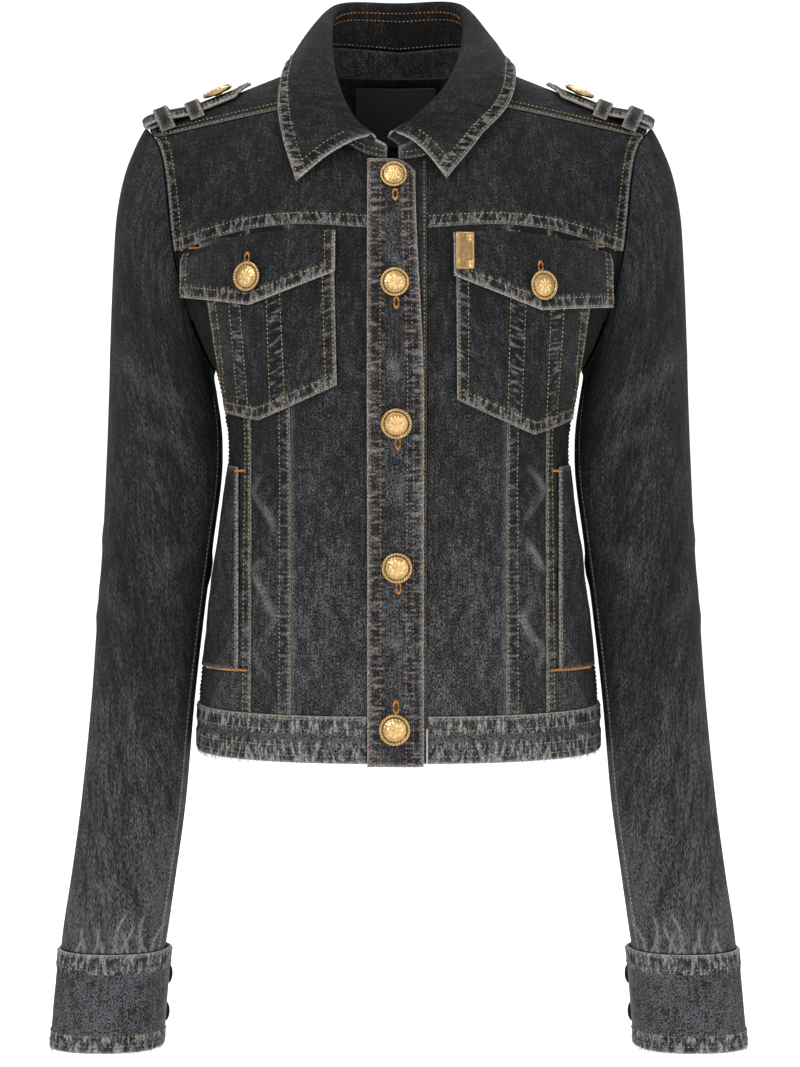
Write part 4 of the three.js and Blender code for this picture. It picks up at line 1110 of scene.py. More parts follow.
class JACKET_OT_stage(bpy.types.Operator):
    """Make the camera, the soft studio lights and the pale floor with its backdrop"""
    bl_idname = "jacket.stage"
    bl_label = "Studio"

    def execute(self, context):
        scene = context.scene
        camera = bpy.data.objects.new("camera", bpy.data.cameras.new("camera"))
        scene.collection.objects.link(camera)
        distance, height, aim_z = 2.6, -0.165, -0.3285
        camera.location = (0.001, -distance, height)
        aim = Vector((0.001, 0, aim_z)) - camera.location
        camera.rotation_euler = aim.to_track_quat("-Z", "Y").to_euler()
        camera.data.sensor_fit = "HORIZONTAL"
        photo_width = 800 * 0.72 * MM
        camera.data.lens = camera.data.sensor_width * aim.length / photo_width
        scene.camera = camera
        scene.view_settings.view_transform = "Standard"
        world = bpy.data.worlds.new("studio")
        scene.world = world
        world.use_nodes = True
        world.node_tree.nodes["Background"].inputs["Color"].default_value = (1, 1, 1, 1)
        world.node_tree.nodes["Background"].inputs["Strength"].default_value = 0.75
        for name, place, size, power in (("key", (-1.5, -2.4, 1.5), 1.6, 42), ("fill", (1.9, -2.2, 0.4), 2.0, 22),
                                         ("rim", (0.2, 1.6, 1.6), 1.6, 22), ("top", (0, -0.2, 1.9), 1.4, 14)):
            light = bpy.data.objects.new(name, bpy.data.lights.new(name, "AREA"))
            light.data.size = size
            light.data.energy = power
            light.location = place
            light.rotation_euler = (Vector((0, 0, -0.3)) - Vector(place)).to_track_quat("-Z", "Y").to_euler()
            scene.collection.objects.link(light)
        floor_z, wall_y, reach, bend = -0.78, 8.0, 12.0, 2.0
        profile = [(-reach, floor_z)] + [(wall_y - bend + bend * math.sin(a), floor_z + bend - bend * math.cos(a))
                                         for a in np.linspace(0, RIGHT_ANGLE, 14)] + [(wall_y, 7.0)]
        vertices = [(x, y, z) for x in (-reach, reach) for y, z in profile]
        count = len(profile)
        faces = [(i, i + count, i + count + 1, i + 1) for i in range(count - 1)]
        mesh = bpy.data.meshes.new("studio_floor")
        mesh.from_pydata(vertices, [], faces)
        mesh.polygons.foreach_set("use_smooth", [True] * len(faces))
        mesh.materials.append(MATERIALS["stage"])
        floor = bpy.data.objects.new("studio_floor", mesh)
        scene.collection.objects.link(floor)
        return {"FINISHED"}


class JACKET_OT_body(bpy.types.Operator):
    """Cut the fronts, the backs, the yokes and the waistband"""
    bl_idname = "jacket.body"
    bl_label = "Body"

    def execute(self, context):
        gap = SEAM_GAP / 2
        bottom, band_top, yoke_seam = WAISTBAND_TOP + gap, WAISTBAND_TOP - gap, BACK_YOKE_SEAM_Z - gap

        def chest(x):
            return chest_seam_z(x) - gap

        for side, name in SIDES:
            edge = PANEL_EDGE[name]
            for number, piece, surface, seams, look in (
                    (0, "front_yoke", front_yoke(side, edge), (("bottom", 8.5, 0.3), ("far", 9, 0.25)),
                     {"wear": ("bottom", "far"), "worn": 0.45}),
                    (0, "front_centre", panel(-1, side, edge, PRINCESS_X - gap, bottom, chest), (("bottom", 0, 0.5),),
                     {"crease": folds(BODY_CREASES), "wear": ("far",), "worn": 0.3}),
                    (1, "front_middle", panel(-1, side, PRINCESS_X + gap, SIDE_FRONT_X - gap, bottom, chest),
                     (("near", 9.5, 0.35), ("bottom", 0, 0.4)),
                     {"fade": side_fade, "crease": diamond_puckers(side, -256, -438), "wear": ("near",), "worn": 0.5,
                      "spacing": 1.9, "rubbed": 0.5}),
                    (2, "front_side", panel(-1, side, SIDE_FRONT_X + gap, None, bottom, chest),
                     (("near", 7.5, 0.4), ("bottom", 0, 0.4)), {"fade": side_fade, "wear": ("near",), "worn": 0.5}),
                    (3, "back_side", panel(1, side, BACK_SEAM_X + gap, None, bottom, yoke_seam),
                     (("far", 9, 0.3), ("bottom", 0, 0.4)),
                     {"crease": folds(((side * 120, -250, side * 92, -225, 6, 1.2),
                                       (side * 118, -330, side * 86, -312, 7, 1.0)), 1),
                      "wear": ("near",), "worn": 0.45})):
                cut(f"{piece}_{name}", surface, -CLOTH, 0, relief=SewnBands(seams, 3.1 * side + number),
                    **{"fade": body_fade, **look})

        def back_centre(c, r):
            return spot(1, mix(-BACK_SEAM_X + gap, BACK_SEAM_X - gap, c), mix(bottom, yoke_seam, r))

        cut("back_centre", back_centre, -CLOTH, 0, fade=body_fade,
            relief=SewnBands((("near", 9.5, 0.35), ("far", 9.5, 0.35), ("bottom", 0, 0.4)), 5),
            crease=folds(((-50, -300, 6, -316, 8, 1.1), (52, -322, 0, -338, 8, 1.0),
                          (-40, -372, 30, -380, 9, 0.9)), 1),
            wear=("near", "far"), worn=0.5)
        cut("back_yoke", back_yoke, -CLOTH, 0, fade=body_fade,
            relief=SewnBands((("bottom", 0, 0.2), ("top", 8.5, 0.3), ("near", 9, 0.25), ("far", 9, 0.25)), 7),
            wear=("bottom", "top"), worn=0.45)

        def back(c, r):
            points = body_point(1, np.minimum(c, 1 - c) * math.pi, mix(HEM_Z, band_top, r)).copy()
            points[..., 0] *= np.where(c < 0.5, -1, 1)
            points[..., 1] = np.maximum(points[..., 1], gap)
            return points

        for name, surface in (("left", panel(-1, -1, -PLACKET["left"] + gap, None, HEM_Z, band_top)),
                              ("right", panel(-1, 1, PANEL_EDGE["right"], None, HEM_Z, band_top)), ("back", back)):
            cut(f"waistband_{name}", surface, -CLOTH, DOUBLED - CLOTH + 0.4, spacing=2.6, fade=even(0.5),
                relief=SewnBands((("top", 12, 0.5), ("bottom", 14, 0.55)), 11 + len(name)),
                wear=("top", "bottom"), worn=0.8, sewn=0.95)
        return {"FINISHED"}


class JACKET_OT_button_band(bpy.types.Operator):
    """Cut the button band and the underlap below it"""
    bl_idname = "jacket.button_band"
    bl_label = "Button band"

    def execute(self, context):
        def placket(c, r):
            x = mix(PLACKET["left"], mix(PLACKET["right"], PLACKET["top_right"], ease((r - 0.62) / 0.38)), c)
            share = np.clip((x - PLACKET["slant_from"]) / (PLACKET["top_right"] - PLACKET["slant_from"]), 0, 1)
            return spot(-1, x, mix(PLACKET["bottom"], PLACKET["top"] - PLACKET["slant"] * share ** 2, r))

        def wrinkles(cloth, base, c, r):
            """Crossing slanted wrinkles between the buttons, down the middle of the band."""
            x, z = base[..., 0] + 2, base[..., 2]
            slanted = noise((z + 1.3 * x) / 6.3, 1.9) + 0.7 * noise((z - 0.9 * x) / 8.1, 4.2)
            return 0.55 * np.exp(-(x / 8.5) ** 2) * slanted * ease((-95 - z) / 20)

        cut("placket", placket, LAY_GAP, LAY_GAP + DOUBLED, spacing=2.4, shown_as="button_band",
            fade=lambda base: 0.12 + 0.16 * ease((-150 - base[..., 2]) / 330),
            relief=SewnBands((("near", 11, 0.3), ("far", 13, 0.3)), 13), crease=wrinkles,
            worn=0.95, sewn=0.9, rubbed=1.1, rests_on=["underlap"])

        def underlap(c, r):
            x = mix(UNDERLAP["left"], UNDERLAP["right"], c)
            top = mix(UNDERLAP["top"], UNDERLAP["top"] + 2, np.clip(x / UNDERLAP["right"], 0, 1))
            return spot(-1, x, mix(HEM_Z, top, r))

        cut("underlap", underlap, -CLOTH, 0, fade=body_fade, wear=("far",), worn=0.15)
        return {"FINISHED"}


POCKET_BANDS = {
    "left": (((116, -158), (108.6, -238)), ((108.6, -158), (101.6, -240)),
             ((90, -155), (86.7, -238)), ((81, -153), (76.6, -235))),
    "right": (((76.5, -150), (73.7, -244)), ((86.9, -152), (82.7, -247)),
              ((104, -160), (100, -250)), ((113, -160), (107, -248))),
}


class JACKET_OT_pockets(bpy.types.Operator):
    """Cut the chest pockets, their flaps and the side pocket welts"""
    bl_idname = "jacket.pockets"
    bl_label = "Pockets"

    def pocket(self, side, name):
        size = POCKETS[name]

        def surface(c, r):
            x = mix(size["inner_bottom"], size["outer_bottom"], c) + 0 * r
            for _ in range(ROUNDS):
                low = bent(x, [size[key] for key in ("inner_bottom", "point_x", "outer_bottom")], size,
                           ("inner_z", "point_z", "outer_z"))
                z = mix(low, size["top"], r)
                near, far = (angle_at(mix(size[edge + "_bottom"], size[edge + "_top"], r), z)
                             for edge in ("inner", "outer"))
                points = body_point(-1, mix(near, far, c), z)
                x = points[..., 0]
            return mirrored(side, points)

        def tapered_bands(base):
            x, z = np.abs(base[..., 0]), base[..., 2]
            total = 0 * x
            lines = [mix(low[0], high[0], (z - low[1]) / (high[1] - low[1])) for low, high in POCKET_BANDS[name]]
            for pair in (lines[:2], lines[2:]):
                left, right = np.minimum(*pair), np.maximum(*pair)
                total = np.maximum(total, ease((x - left + 1) / 2) * ease((right + 1 - x) / 2))
            return total

        cut(f"pocket_{name}", surface, LAY_GAP, LAY_GAP + POCKET_THICKNESS, spacing=1.9, fade=body_fade,
            relief=SewnBands((("near", 9, 0.4), ("far", 9, 0.3), ("bottom", 9, 0.4)), 17), marks=tapered_bands,
            crease=lambda cloth, base, c, r: POCKET_SIDE_GAP * c ** 2, wear=EDGES[:3], worn=0.75,
            rests_on=[f"front_centre_{name}"])

    def flap(self, side, name):
        size = FLAPS[name]

        def surface(c, r):
            x = bent(c, (0, 0.5, 1), size, ("inner", "point_x", "outer"))
            edge = bent(c, (0, 0.5, 1), size, ("inner_z", "point_z", "outer_z"))
            return spot(-1, side * x, mix(edge, chest_seam_z(x) - size["drop"], r))

        def lift(cloth, base, c, r):
            """The flap's top edge is drawn in towards the seam that holds it."""
            return POCKET_SIDE_GAP * c ** 2 - 2.4 * (1 - ease(cloth.edges["top"] / 6))

        cut(f"flap_{name}", surface, FLAP_LOW, FLAP_LOW + DOUBLED, spacing=2.4, fade=body_fade,
            relief=SewnBands((("near", 8, 0.4), ("far", 8, 0.4), ("bottom", 9, 0.45)), 19 * side),
            crease=lift, wear=EDGES[:3], worn=1.0, rests_on=[f"pocket_{name}"])

    def welt(self, side, name):
        def surface(c, r):
            z = mix(WELT["bottom"], WELT["top"], r)
            return mirrored(side, body_point(-1, mix(angle_at(WELT["inner"], z), WELT["outer_angle"], c), z))

        cut(f"welt_{name}", surface, LAY_GAP, LAY_GAP + DOUBLED, spacing=2.6, fade=even(0.1),
            crease=lambda cloth, base, c, r: 0.5 * noise(base[..., 2] / 9, side) * ease(c / 0.3),
            worn=0.6, rests_on=[f"front_side_{name}"])

    def execute(self, context):
        for side, name in SIDES:
            self.pocket(side, name)
            self.flap(side, name)
            self.welt(side, name)
        return {"FINISHED"}


# Short creases above the cuff's seam: where each starts, how it leans and how far it reaches

GATHERS = ((176, -0.35, 24), (181, 0.3, 15), (186, -0.2, 32), (190, 0.45, 20), (196, -0.3, 26), (200, 0.25, 12),
           (205, -0.4, 34), (211, 0.2, 18), (217, -0.25, 24), (223, 0.3, 14), (229, -0.2, 22))
SLEEVE_CREASES = ((200, -196, 150, -236, 9, 0.9), (146, -268, 180, -252, 7, 0.8), (144, -336, 172, -354, 9, 0.8),
                  (212, -362, 186, -392, 9, 0.7), (152, -424, 176, -438, 8, 0.6))


class JACKET_OT_sleeves(bpy.types.Operator):
    """Cut the two-piece sleeves and the overlapping cuffs"""
    bl_idname = "jacket.sleeves"
    bl_label = "Sleeves"

    def sleeve(self, side, name):
        hair, back = 0.006, math.radians(SLEEVE_BACK_SEAM)

        def front(r):
            return np.radians(mix(*SLEEVE_FRONT_SEAM, r))

        def core(points):
            x = side * mix(180, 208, np.clip((-200 - points[..., 2]) / 424, 0, 1))
            return np.stack([x, 0 * points[..., 1] - 10, points[..., 2]], -1)

        def soft(cloth, base, c, r):
            """Underarm and elbow folds."""
            x, z = base[..., 0] * side, base[..., 2]
            behind = base[..., 1] > -8
            total = creases(mirrored(side, base), SLEEVE_CREASES)
            total = total + behind * 1.1 * np.exp(-((z + 372 + 0.4 * (x - 180)) / 8) ** 2)
            return total + behind * 0.9 * np.exp(-((z + 340 - 0.3 * (x - 180)) / 7) ** 2)

        def gathered(base):
            above = base[..., 2] - CUFF["top_z"]
            total = 0 * above
            for foot, lean, reach in GATHERS:
                off = base[..., 0] * side - foot - lean * above - 1.6 * np.sin(above / 5 + foot)
                total = np.maximum(total, np.exp(-(off / 1.25) ** 2) * ease((reach - above) / 9))
            return total

        shared = {"fade": sleeve_fade, "crease": soft, "core": core, "spacing": 4.8, "drawn": gathered}
        top = sleeve_piece(side, lambda r: front(r) - hair, lambda r: back - 2 * math.pi + hair + 0 * r)
        under = sleeve_piece(side, lambda r: front(r) + hair, lambda r: back - hair + 0 * r)
        cut(f"sleeve_top_{name}", top, -CLOTH, 0, relief=SewnBands((("far", 8, 0.3),)), wear=("far", "near"),
            worn=0.45, **shared)
        cut(f"sleeve_under_{name}", under, -CLOTH, 0, wear=("near",), worn=0.4, **shared)

    def cuff(self, side, name):
        def surface(c, r):
            around = 2 * math.pi + math.radians(CUFF["overlap"])
            return cuff_point(side, math.radians(CUFF["start"]) + c * around, r)

        def over(cloth, base, c, r):
            """The overlap's step, and the rumples of the washed cuff."""
            x, z = base[..., 0], base[..., 2]
            rumple = noise(x / 7 + 0.4 * np.sin(z / 9), 3 + side) * noise(z / 10 + x / 25, 5 + side)
            inside = ease(cloth.edges["top"] / 14) * ease(cloth.edges["bottom"] / 14)
            step = (CUFF["thickness"] + LAY_GAP) * ease((c - 0.84) / 0.085)
            return step + 0.5 * rumple * inside * (c < 0.8) * (c > 0.14)

        def core(points):
            return points * (0, 0, 1) + (side * CUFF["mid_x"], CUFF["mid_y"], 0)

        cut(f"cuff_{name}", surface, -CUFF["thickness"] + 0.6, 0.6, spacing=2.6, core=core, crease=over,
            fade=lambda base: 0.58 + 0.1 * np.sin(base[..., 0] / 9),
            relief=SewnBands((("bottom", 13, 0.45), ("top", 12, 0.5)), 23 * side),
            wear=("bottom", "top", "far"), worn=0.85, sewn=0.85)

    def execute(self, context):
        for side, name in SIDES:
            self.sleeve(side, name)
            self.cuff(side, name)
        return {"FINISHED"}


class JACKET_OT_collar(bpy.types.Operator):
    """Cut the stand and the fold-over collar"""
    bl_idname = "jacket.collar"
    bl_label = "Collar"

    def execute(self, context):
        def soft(cloth, base, c, r):
            """Waves along the fall and short creases near the fold."""
            return 0.7 * noise(c * 34 + r * 5, 1.2) * ease((r - 0.55) / 0.2) * ease((1 - r) / 0.2)

        cut("collar", collar, -2, 0, spacing=2.8, core=lambda points: points * (0, 0, 1) - (0, 10, 60),
            seen_at=(0.5, 0.8), crease=soft, fade=even(-0.06),
            relief=SewnBands((("top", 9, 0.5), ("near", 9, 0.4), ("far", 9, 0.4)), 29),
            wear=("top", "near", "far"), worn=1.0, held="folded")
        cut("collar_stand", collar_stand, -DOUBLED / 2, DOUBLED / 2, spacing=3, fade=even(0.08), worn=0.6)
        return {"FINISHED"}


class JACKET_OT_straps(bpy.types.Operator):
    """Cut the shoulder straps and their keeper loops"""
    bl_idname = "jacket.straps"
    bl_label = "Shoulder straps"

    def keeper(self, side, along):
        near, far = STRAP["front"] - 5, STRAP["back"] + 5
        over = float(strap_top_lift(along + KEEPER["width"] / 2)) + LAY_GAP

        def surface(c, r):
            across = mix(near, far, r)
            lift = mix(KEEPER["foot"], over, ease(np.minimum(across - near, far - across) / 4))
            return strap_lift(side, along + mix(-0.5, 0.5, c) * KEEPER["width"], across, lift)
        return surface

    def execute(self, context):
        for side, name in SIDES:
            cut(f"strap_{name}", strap(side), -STRAP["thickness"], 0, spacing=2.2, seen_at=(0.9, 0.5), fade=even(0.1),
                relief=SewnBands((("bottom", 6, 0.25), ("top", 6, 0.25), ("far", 6, 0.25)), 31), worn=0.95,
                held="folded", rests_on=["back_yoke"])
            for i, along in enumerate(KEEPERS):
                cut(f"keeper_{name}_{i + 1}", self.keeper(side, along), 0, KEEPER["thickness"], spacing=1.8,
                    fade=even(0.14), worn=0.9, rests_on=[f"strap_{name}"])
        return {"FINISHED"}


def metal_button(name, place, normal, radius, seat=0.5):
    """A domed button with a rope rim, a ring of beads and a rosette, on a short shank."""
    rings, spokes = 30, 96
    turn = np.linspace(0, 2 * math.pi, spokes, endpoint=False)
    s, a = np.meshgrid(np.linspace(0.02, 1, rings), turn, indexing="ij")
    rim = np.sqrt(np.clip(1 - ((s - 0.9) / 0.1) ** 2, 0, 1))
    rope = 0.28 * rim * np.cos(30 * a + 26 * s)
    dome = 1.7 * np.clip(1 - (s / 0.8) ** 2, 0, 1)
    petals = 0.5 * np.abs(np.cos(4 * a)) ** 0.7 * np.exp(-((s - 0.36) / 0.15) ** 2)
    inner = 0.35 * np.abs(np.cos(2.5 * a + 0.4)) * np.exp(-((s - 0.16) / 0.06) ** 2)
    beads = 0.3 * np.clip(np.cos(22 * a), -0.2, 1) * np.exp(-((s - 0.68) / 0.045) ** 2)
    groove = -0.5 * np.exp(-((s - 0.785) / 0.03) ** 2)
    relief = rope + petals + inner + beads + groove + 0.3 * np.exp(-(s / 0.07) ** 2)
    height = (3.6 + 0.75 * rim + dome + relief) * radius / 10.8
    flat = np.ones(spokes)
    rows = [(s[i] * radius, height[i]) for i in range(rings)]
    rows += [(flat * reach, flat * rise) for reach, rise in ((radius, 2.6), (radius - 1.2, 1.7), (3, 1.6), (3, seat))]
    right = unit(np.cross(UP if abs(normal[2]) < 0.9 else (0, -1.0, 0), normal))
    up = np.cross(normal, right)
    vertices = [place + normal * (height[0].mean() + 0.02)]
    for reach, rise in rows:
        vertices.extend(place + np.outer(reach * np.cos(turn), right) + np.outer(reach * np.sin(turn), up)
                        + np.outer(rise, normal))
    vertices.append(place + normal * seat)
    last = len(vertices) - 1
    foot = last - spokes
    faces = [(0, 1 + i, 1 + (i + 1) % spokes) for i in range(spokes)]
    for low in range(1, foot, spokes):
        high = low + spokes
        faces += [(low + i, high + i, high + (i + 1) % spokes, low + (i + 1) % spokes) for i in range(spokes)]
    faces += [(last, foot + (i + 1) % spokes, foot + i) for i in range(spokes)]
    made = new_object(f"metal_{name}", np.array(vertices) * MM, faces, MATERIALS["gold"])
    recess = np.clip(0.55 - 1.9 * relief, 0, 1)
    set_values(made, "recess", np.concatenate([[0], recess.ravel(), np.full(4 * spokes, 0.5), [0.5]]))
    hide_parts(name)


class JACKET_OT_buttons(bpy.types.Operator):
    """Strike the metal buttons and set each on its cloth"""
    bl_idname = "jacket.buttons"
    bl_label = "Buttons"

    def cuff_button(self, side, z):
        """A place on the cuff's overlap, and the way that it faces."""
        r = (z - CUFF["top_z"]) / (CUFF["bottom_z"] - CUFF["top_z"])
        angle = math.radians(CUFF["start"] + CUFF["overlap"] / 2)
        place = cuff_point(side, angle, r)
        normal = unit(np.cross(cuff_point(side, angle + 0.04, r) - place, cuff_point(side, angle, r + 0.05) - place))
        if np.dot(normal, place - (side * CUFF["mid_x"], CUFF["mid_y"], place[2])) < 0:
            normal = -normal
        return place + normal * (CUFF["thickness"] + LAY_GAP + 0.6), normal

    def execute(self, context):
        for i, (x, z, radius) in enumerate(FRONT_BUTTONS):
            metal_button(f"button_front_{i + 1}", *raised_spot(x, z, LAY_GAP + DOUBLED), radius, 0.4)
        for side, name in SIDES:
            x, z = POCKET_BUTTONS[name]
            place = raised_spot(side * x, z, FLAP_LOW + DOUBLED)
            metal_button(f"button_pocket_{name}", *place, BUTTON_RADIUS["pocket"])
            along, across = np.array(STRAP_BUTTON["along"]), np.array(STRAP_BUTTON["across"])
            normal = strap_normal(side, along, across)
            place = strap_place(side, along, across) + normal * (float(strap_top_lift(along)) + 0.1)
            metal_button(f"button_strap_{name}", place, normal, BUTTON_RADIUS["strap"])
            for i, z in enumerate(CUFF_BUTTONS):
                metal_button(f"button_cuff_{name}_{i + 1}", *self.cuff_button(side, z), BUTTON_RADIUS["cuff"])
        return {"FINISHED"}


class JACKET_OT_plate_and_label(bpy.types.Operator):
    """Make the bare metal plate on one flap and the bare label in the neck"""
    bl_idname = "jacket.plate_and_label"
    bl_label = "Plate and label"

    def plate(self):
        low = FLAP_LOW + DOUBLED + LAY_GAP
        x = np.linspace(METAL_TAB["left"], METAL_TAB["right"], 13)
        z = np.linspace(METAL_TAB["bottom"], METAL_TAB["top"], 25)
        xs, zs = np.meshgrid(x, z)
        edge = np.minimum.reduce([xs - x[0], x[-1] - xs, zs - z[0], z[-1] - zs])
        rim = 0.25 * (1 - ease((edge - 0.9) / 0.6)) - 0.3 * (1 - np.clip(edge / 0.6, 0, 1))
        pins = 0 * xs
        for pin_z in (z[0] + 2.6, z[0] + 5.0, z[-1] - 2.6, z[-1] - 5.0):
            pin = np.exp(-((xs - x[0] - 8.6) / 1.5) ** 4 - ((zs - pin_z) / 0.8) ** 4)
            pins = np.maximum(pins, 0.7 * pin)
        top, _ = raised_spot(xs, zs, (low + METAL_TAB["thickness"] + rim + pins)[..., None])
        under, _ = raised_spot(xs, zs, low)
        vertices = np.concatenate([top.reshape(-1, 3), under.reshape(-1, 3)]) * MM
        made = new_object("metal_plate", vertices, wall_faces(*xs.shape), MATERIALS["gold"])
        recess = np.clip(0.72 - rim * 0.8 - pins, 0, 1).ravel()
        set_values(made, "recess", np.concatenate([recess, recess * 0 + 0.6]))
        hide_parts("metal_tab")

    def execute(self, context):
        self.plate()
        top = float(body_point(1, RIGHT_ANGLE, 0)[2]) - LABEL["below_neck"]

        def label(c, r):
            return spot(1, mix(LABEL["left"], LABEL["right"], c), mix(top - LABEL["height"], top, r))

        high = -CLOTH - 2 * LAY_GAP
        made = Cloth("woven_label", label, high - LABEL["thickness"], high, spacing=3, material="label")
        made.declare(["neck_label"], rests_on=["back_yoke"], slot="woven_label")
        return {"FINISHED"}


# Rows of topstitching: the cloth, its edge, the distances in from it, and the share of it that is sewn

SIDE_ROWS = (
    ("front_yoke_{}", "bottom", (2, 8)), ("front_yoke_{}", "far", (2.2, 9)), ("front_middle_{}", "near", (1.8, 8.6)),
    ("front_side_{}", "near", (1.5, 6.4)), ("back_side_{}", "far", (2, 8), 0, 0.7),
    ("pocket_{}", "near", (2, 8), 0, 0.93), ("pocket_{}", "far", (2, 8), 0, 0.93), ("pocket_{}", "bottom", (2, 8.4)),
    ("flap_{}", "near", (1.8, 7)), ("flap_{}", "far", (1.8, 7)), ("flap_{}", "bottom", (1.8, 7.6)),
    ("welt_{}", "near", (1.6,)), ("strap_{}", "bottom", (1.6, 5), 0.42, 1), ("strap_{}", "top", (1.6, 5), 0.42, 1),
    ("strap_{}", "far", (1.6, 5)), ("keeper_{}_1", "near", (1.6,)), ("keeper_{}_1", "far", (1.6,)),
    ("keeper_{}_2", "near", (1.6,)), ("keeper_{}_2", "far", (1.6,)),
)
SLEEVE_ROWS = (
    ("sleeve_top_{}", "far", (2, 7.6)), ("sleeve_top_{}", "near", (1.8,), 0.25, 1),
    ("cuff_{}", "bottom", (1.8, 11)), ("cuff_{}", "top", (5, 12)), ("cuff_{}", "far", (2, 8)),
)
BODY_ROWS = (
    ("back_yoke", "bottom", (1.6, 6.8), 0, SHOULDER_SHARE / 2),
    ("back_yoke", "bottom", (1.6, 6.8), 1 - SHOULDER_SHARE / 2, 1),
    ("back_yoke", "top", (2, 8)), ("back_yoke", "near", (2.2, 9)), ("back_yoke", "far", (2.2, 9)),
    ("back_centre", "near", (1.8, 8.6)), ("back_centre", "far", (1.8, 8.6)),
    ("waistband_left", "top", (2.4, 10)), ("waistband_left", "bottom", (5, 12)),
    ("waistband_right", "top", (2.4, 10)), ("waistband_right", "bottom", (5, 12)),
    ("waistband_back", "top", (2.4, 10)), ("waistband_back", "bottom", (5, 12)),
    ("collar", "top", (2.4, 9)), ("collar", "near", (2.4, 9), 0.55, 1), ("collar", "far", (2.4, 9), 0.55, 1),
    ("collar", "bottom", (2,), 0.2, 0.8), ("collar_stand", "bottom", (2, 6), 0, 0.14),
    ("collar_stand", "bottom", (2, 6), 0.86, 1), ("underlap", "far", (2,)),
)
BAND_ROWS = (
    ("placket", "near", (2.4, 9)), ("placket", "far", (2.4, 7.2, 12)), ("placket", "top", (2.5, 7.5), 0.1, 0.7),
)


class JACKET_OT_sewing(bpy.types.Operator):
    """Sew the topstitching, the bar tacks and the buttonholes"""
    bl_idname = "jacket.sewing"
    bl_label = "Sewing"

    def execute(self, context):
        pitch = settings()[1].stitch / MM
        gold, sleeves, brown, orange = (Sewing(f"sewing_{name}", thread) for name, thread in (
            ("topstitch", "gold_thread"), ("sleeves", "gold_thread"), ("button_band", "brown_thread"),
            ("tacks_and_holes", "orange_thread")))

        def rows(sewing, listed, name=""):
            for piece, edge, distances, *span in listed:
                for distance in distances:
                    sewing.row(CLOTHS[piece.format(name)].beside(edge, distance, *span), pitch)

        for side, name in SIDES:
            rows(gold, SIDE_ROWS, name)
            for low, high in POCKET_BANDS[name]:
                lift = LAY_GAP + POCKET_THICKNESS + POCKET_SIDE_GAP * ((low[0] - 40) / 85) ** 2 + 0.5
                gold.row(on_front([(side * low[0], low[1]), (side * high[0], high[1])], lift), pitch)
            rows(sleeves, SLEEVE_ROWS, name)
        rows(gold, BODY_ROWS)
        rows(brown, BAND_ROWS)
        for r in (0.115, 0.145):
            orange.row(CLOTHS["collar"].through([(0.38, r), (0.5, r), (0.62, r)]), pitch)
        self.tacks(orange)
        for sewing in (gold, sleeves, brown, orange):
            sewing.finish()
        return {"FINISHED"}

    def tacks(self, orange):
        band_lift = LAY_GAP + DOUBLED + 0.35
        for x, z, radius in FRONT_BUTTONS[:-1]:
            orange.buttonhole(*raised_spot(x + 1, z - radius - 3.2, band_lift), 10.5, 4.6)
        x, z, radius = FRONT_BUTTONS[-1]
        orange.buttonhole(*raised_spot(x + 1, z + radius + 4, band_lift), 12, 4.8)
        for side, name in SIDES:
            x, z = POCKET_BUTTONS[name]
            orange.buttonhole(*raised_spot(side * x - 1, z + 12.6, FLAP_LOW + DOUBLED + 0.55), 9.5, 4.6)
            for z, reach in ((WELT["top"] - 2, 0.46), (WELT["bottom"] + 1, 0.36)):
                start = spot(-1, side * (SIDE_FRONT_X + 1), z)
                outer = mirrored(side, body_point(-1, reach, z - 1.0))
                for first in (0.0, 0.5):
                    ends = mix(start, outer, first), mix(start, outer, first + 0.5)
                    line = [raised_spot(end[0], end[2], LAY_GAP + DOUBLED + 0.2)[0] for end in ends]
                    orange.bar_tack(*line, spot_normal(-1, (ends[0][0] + ends[1][0]) / 2, z))
            corner = FLAPS[name]["outer"] - 3
            top = float(chest_seam_z(corner)) - 1
            line = [raised_spot(side * at, top, 1.6)[0] for at in (corner - 9, corner)]
            orange.bar_tack(*line, spot_normal(-1, side * corner, top), 1.8)


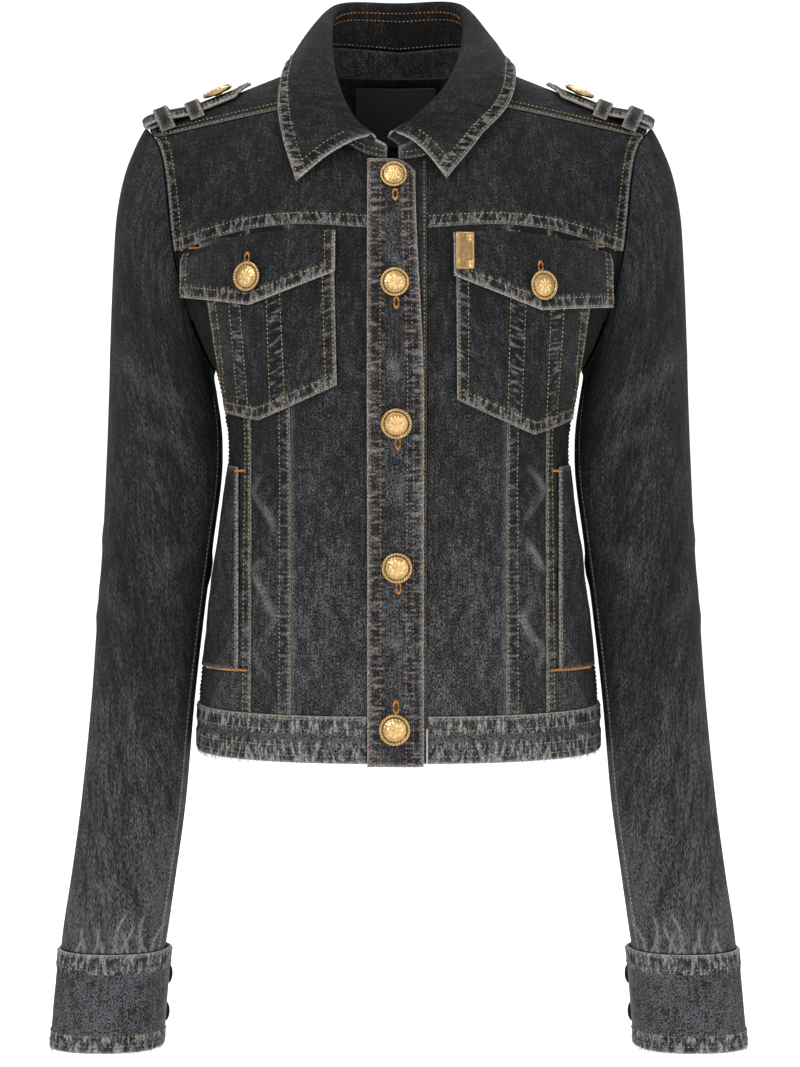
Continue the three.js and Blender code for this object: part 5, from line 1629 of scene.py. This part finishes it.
class JACKET_OT_fray(bpy.types.Operator):
    """Fray the raw hem and the raw cuff ends"""
    bl_idname = "jacket.fray"
    bl_label = "Fray"

    def execute(self, context):
        length = settings()[1].fray / MM
        chance = random.Random(7)
        for name, cloths in (("fray_hem", ("waistband_left", "waistband_right", "waistband_back", "placket")),
                             ("fray_cuffs", ("cuff_left", "cuff_right"))):
            vertices, faces = [], []
            for cloth in cloths:
                edge = "top" if cloth.startswith("cuff") else "bottom"
                self.threads(*CLOTHS[cloth].beside(edge, 0.3), length, chance, vertices, faces)
            made = new_object(name, np.array(vertices) * MM, faces, MATERIALS["pale_thread"])
        return {"FINISHED"}

    def threads(self, points, normals, length, chance, vertices, faces):
        arc = arc_of(points)
        for at in np.arange(0.5, arc[-1] - 0.5, 0.8):
            start = np.array([np.interp(at + chance.uniform(-0.3, 0.3), arc, points[:, k]) for k in range(3)])
            normal = read_line(at, arc, normals)
            start = start - normal * chance.uniform(0.2, 1.8)
            along = unit(read_line(at + 1, arc, points) - start)
            reach = length * chance.choice((0.25, 0.35, 0.45, 0.6, 0.8, 1.0)) * (2.2 if chance.random() < 0.02 else 1)
            lean = along * chance.uniform(-0.5, 0.5) + normal * chance.uniform(-0.25, 0.3)
            bend = along * chance.uniform(-0.6, 0.6) + normal * chance.uniform(-0.2, 0.3)
            n = len(vertices)
            for k in range(3):
                share = k / 2
                centre = start + UP * (0.8 - (reach + 0.8) * share) + (lean * share + bend * share ** 2) * reach
                width = 0.22 * (1 - 0.5 * share)
                vertices += [centre + along * width, centre - along * width * 0.5 + normal * width * 0.87,
                             centre - along * width * 0.5 - normal * width * 0.87]
            for k in range(2):
                low, high = n + 3 * k, n + 3 * k + 3
                faces += [(low + i, low + (i + 1) % 3, high + (i + 1) % 3, high + i) for i in range(3)]
            faces += [(n, n + 2, n + 1), (n + 6, n + 7, n + 8)]


class JACKET_PT_panel(bpy.types.Panel):
    """The jacket's pieces, sizes and colours"""
    bl_label = "Denim jacket"
    bl_idname = "JACKET_PT_panel"
    bl_space_type = "VIEW_3D"
    bl_region_type = "UI"
    bl_category = "Jacket"

    def draw(self, context):
        for values in (context.scene.jacket_sizes, context.scene.jacket_colours):
            for name in values.__annotations__:
                self.layout.prop(values, name)
        for operator in OPERATORS:
            self.layout.operator(operator.bl_idname)


OPERATORS = (JACKET_OT_stage, JACKET_OT_body, JACKET_OT_button_band, JACKET_OT_pockets, JACKET_OT_sleeves,
             JACKET_OT_collar, JACKET_OT_straps, JACKET_OT_buttons, JACKET_OT_plate_and_label, JACKET_OT_sewing,
             JACKET_OT_fray)
CLASSES = (JacketColours, JacketSizes) + OPERATORS + (JACKET_PT_panel,)


def register():
    for made in CLASSES:
        bpy.utils.register_class(made)
    bpy.types.Scene.jacket_colours = bpy.props.PointerProperty(type=JacketColours)
    bpy.types.Scene.jacket_sizes = bpy.props.PointerProperty(type=JacketSizes)


def unregister():
    del bpy.types.Scene.jacket_sizes
    del bpy.types.Scene.jacket_colours
    for made in reversed(CLASSES):
        bpy.utils.unregister_class(made)


def main():
    register()
    make_materials(settings()[0])
    for operator in OPERATORS:
        group_name, name = operator.bl_idname.split(".")
        getattr(getattr(bpy.ops, group_name), name)()
    bpy.context.view_layer.update()


if __name__ == "__main__":
    main()
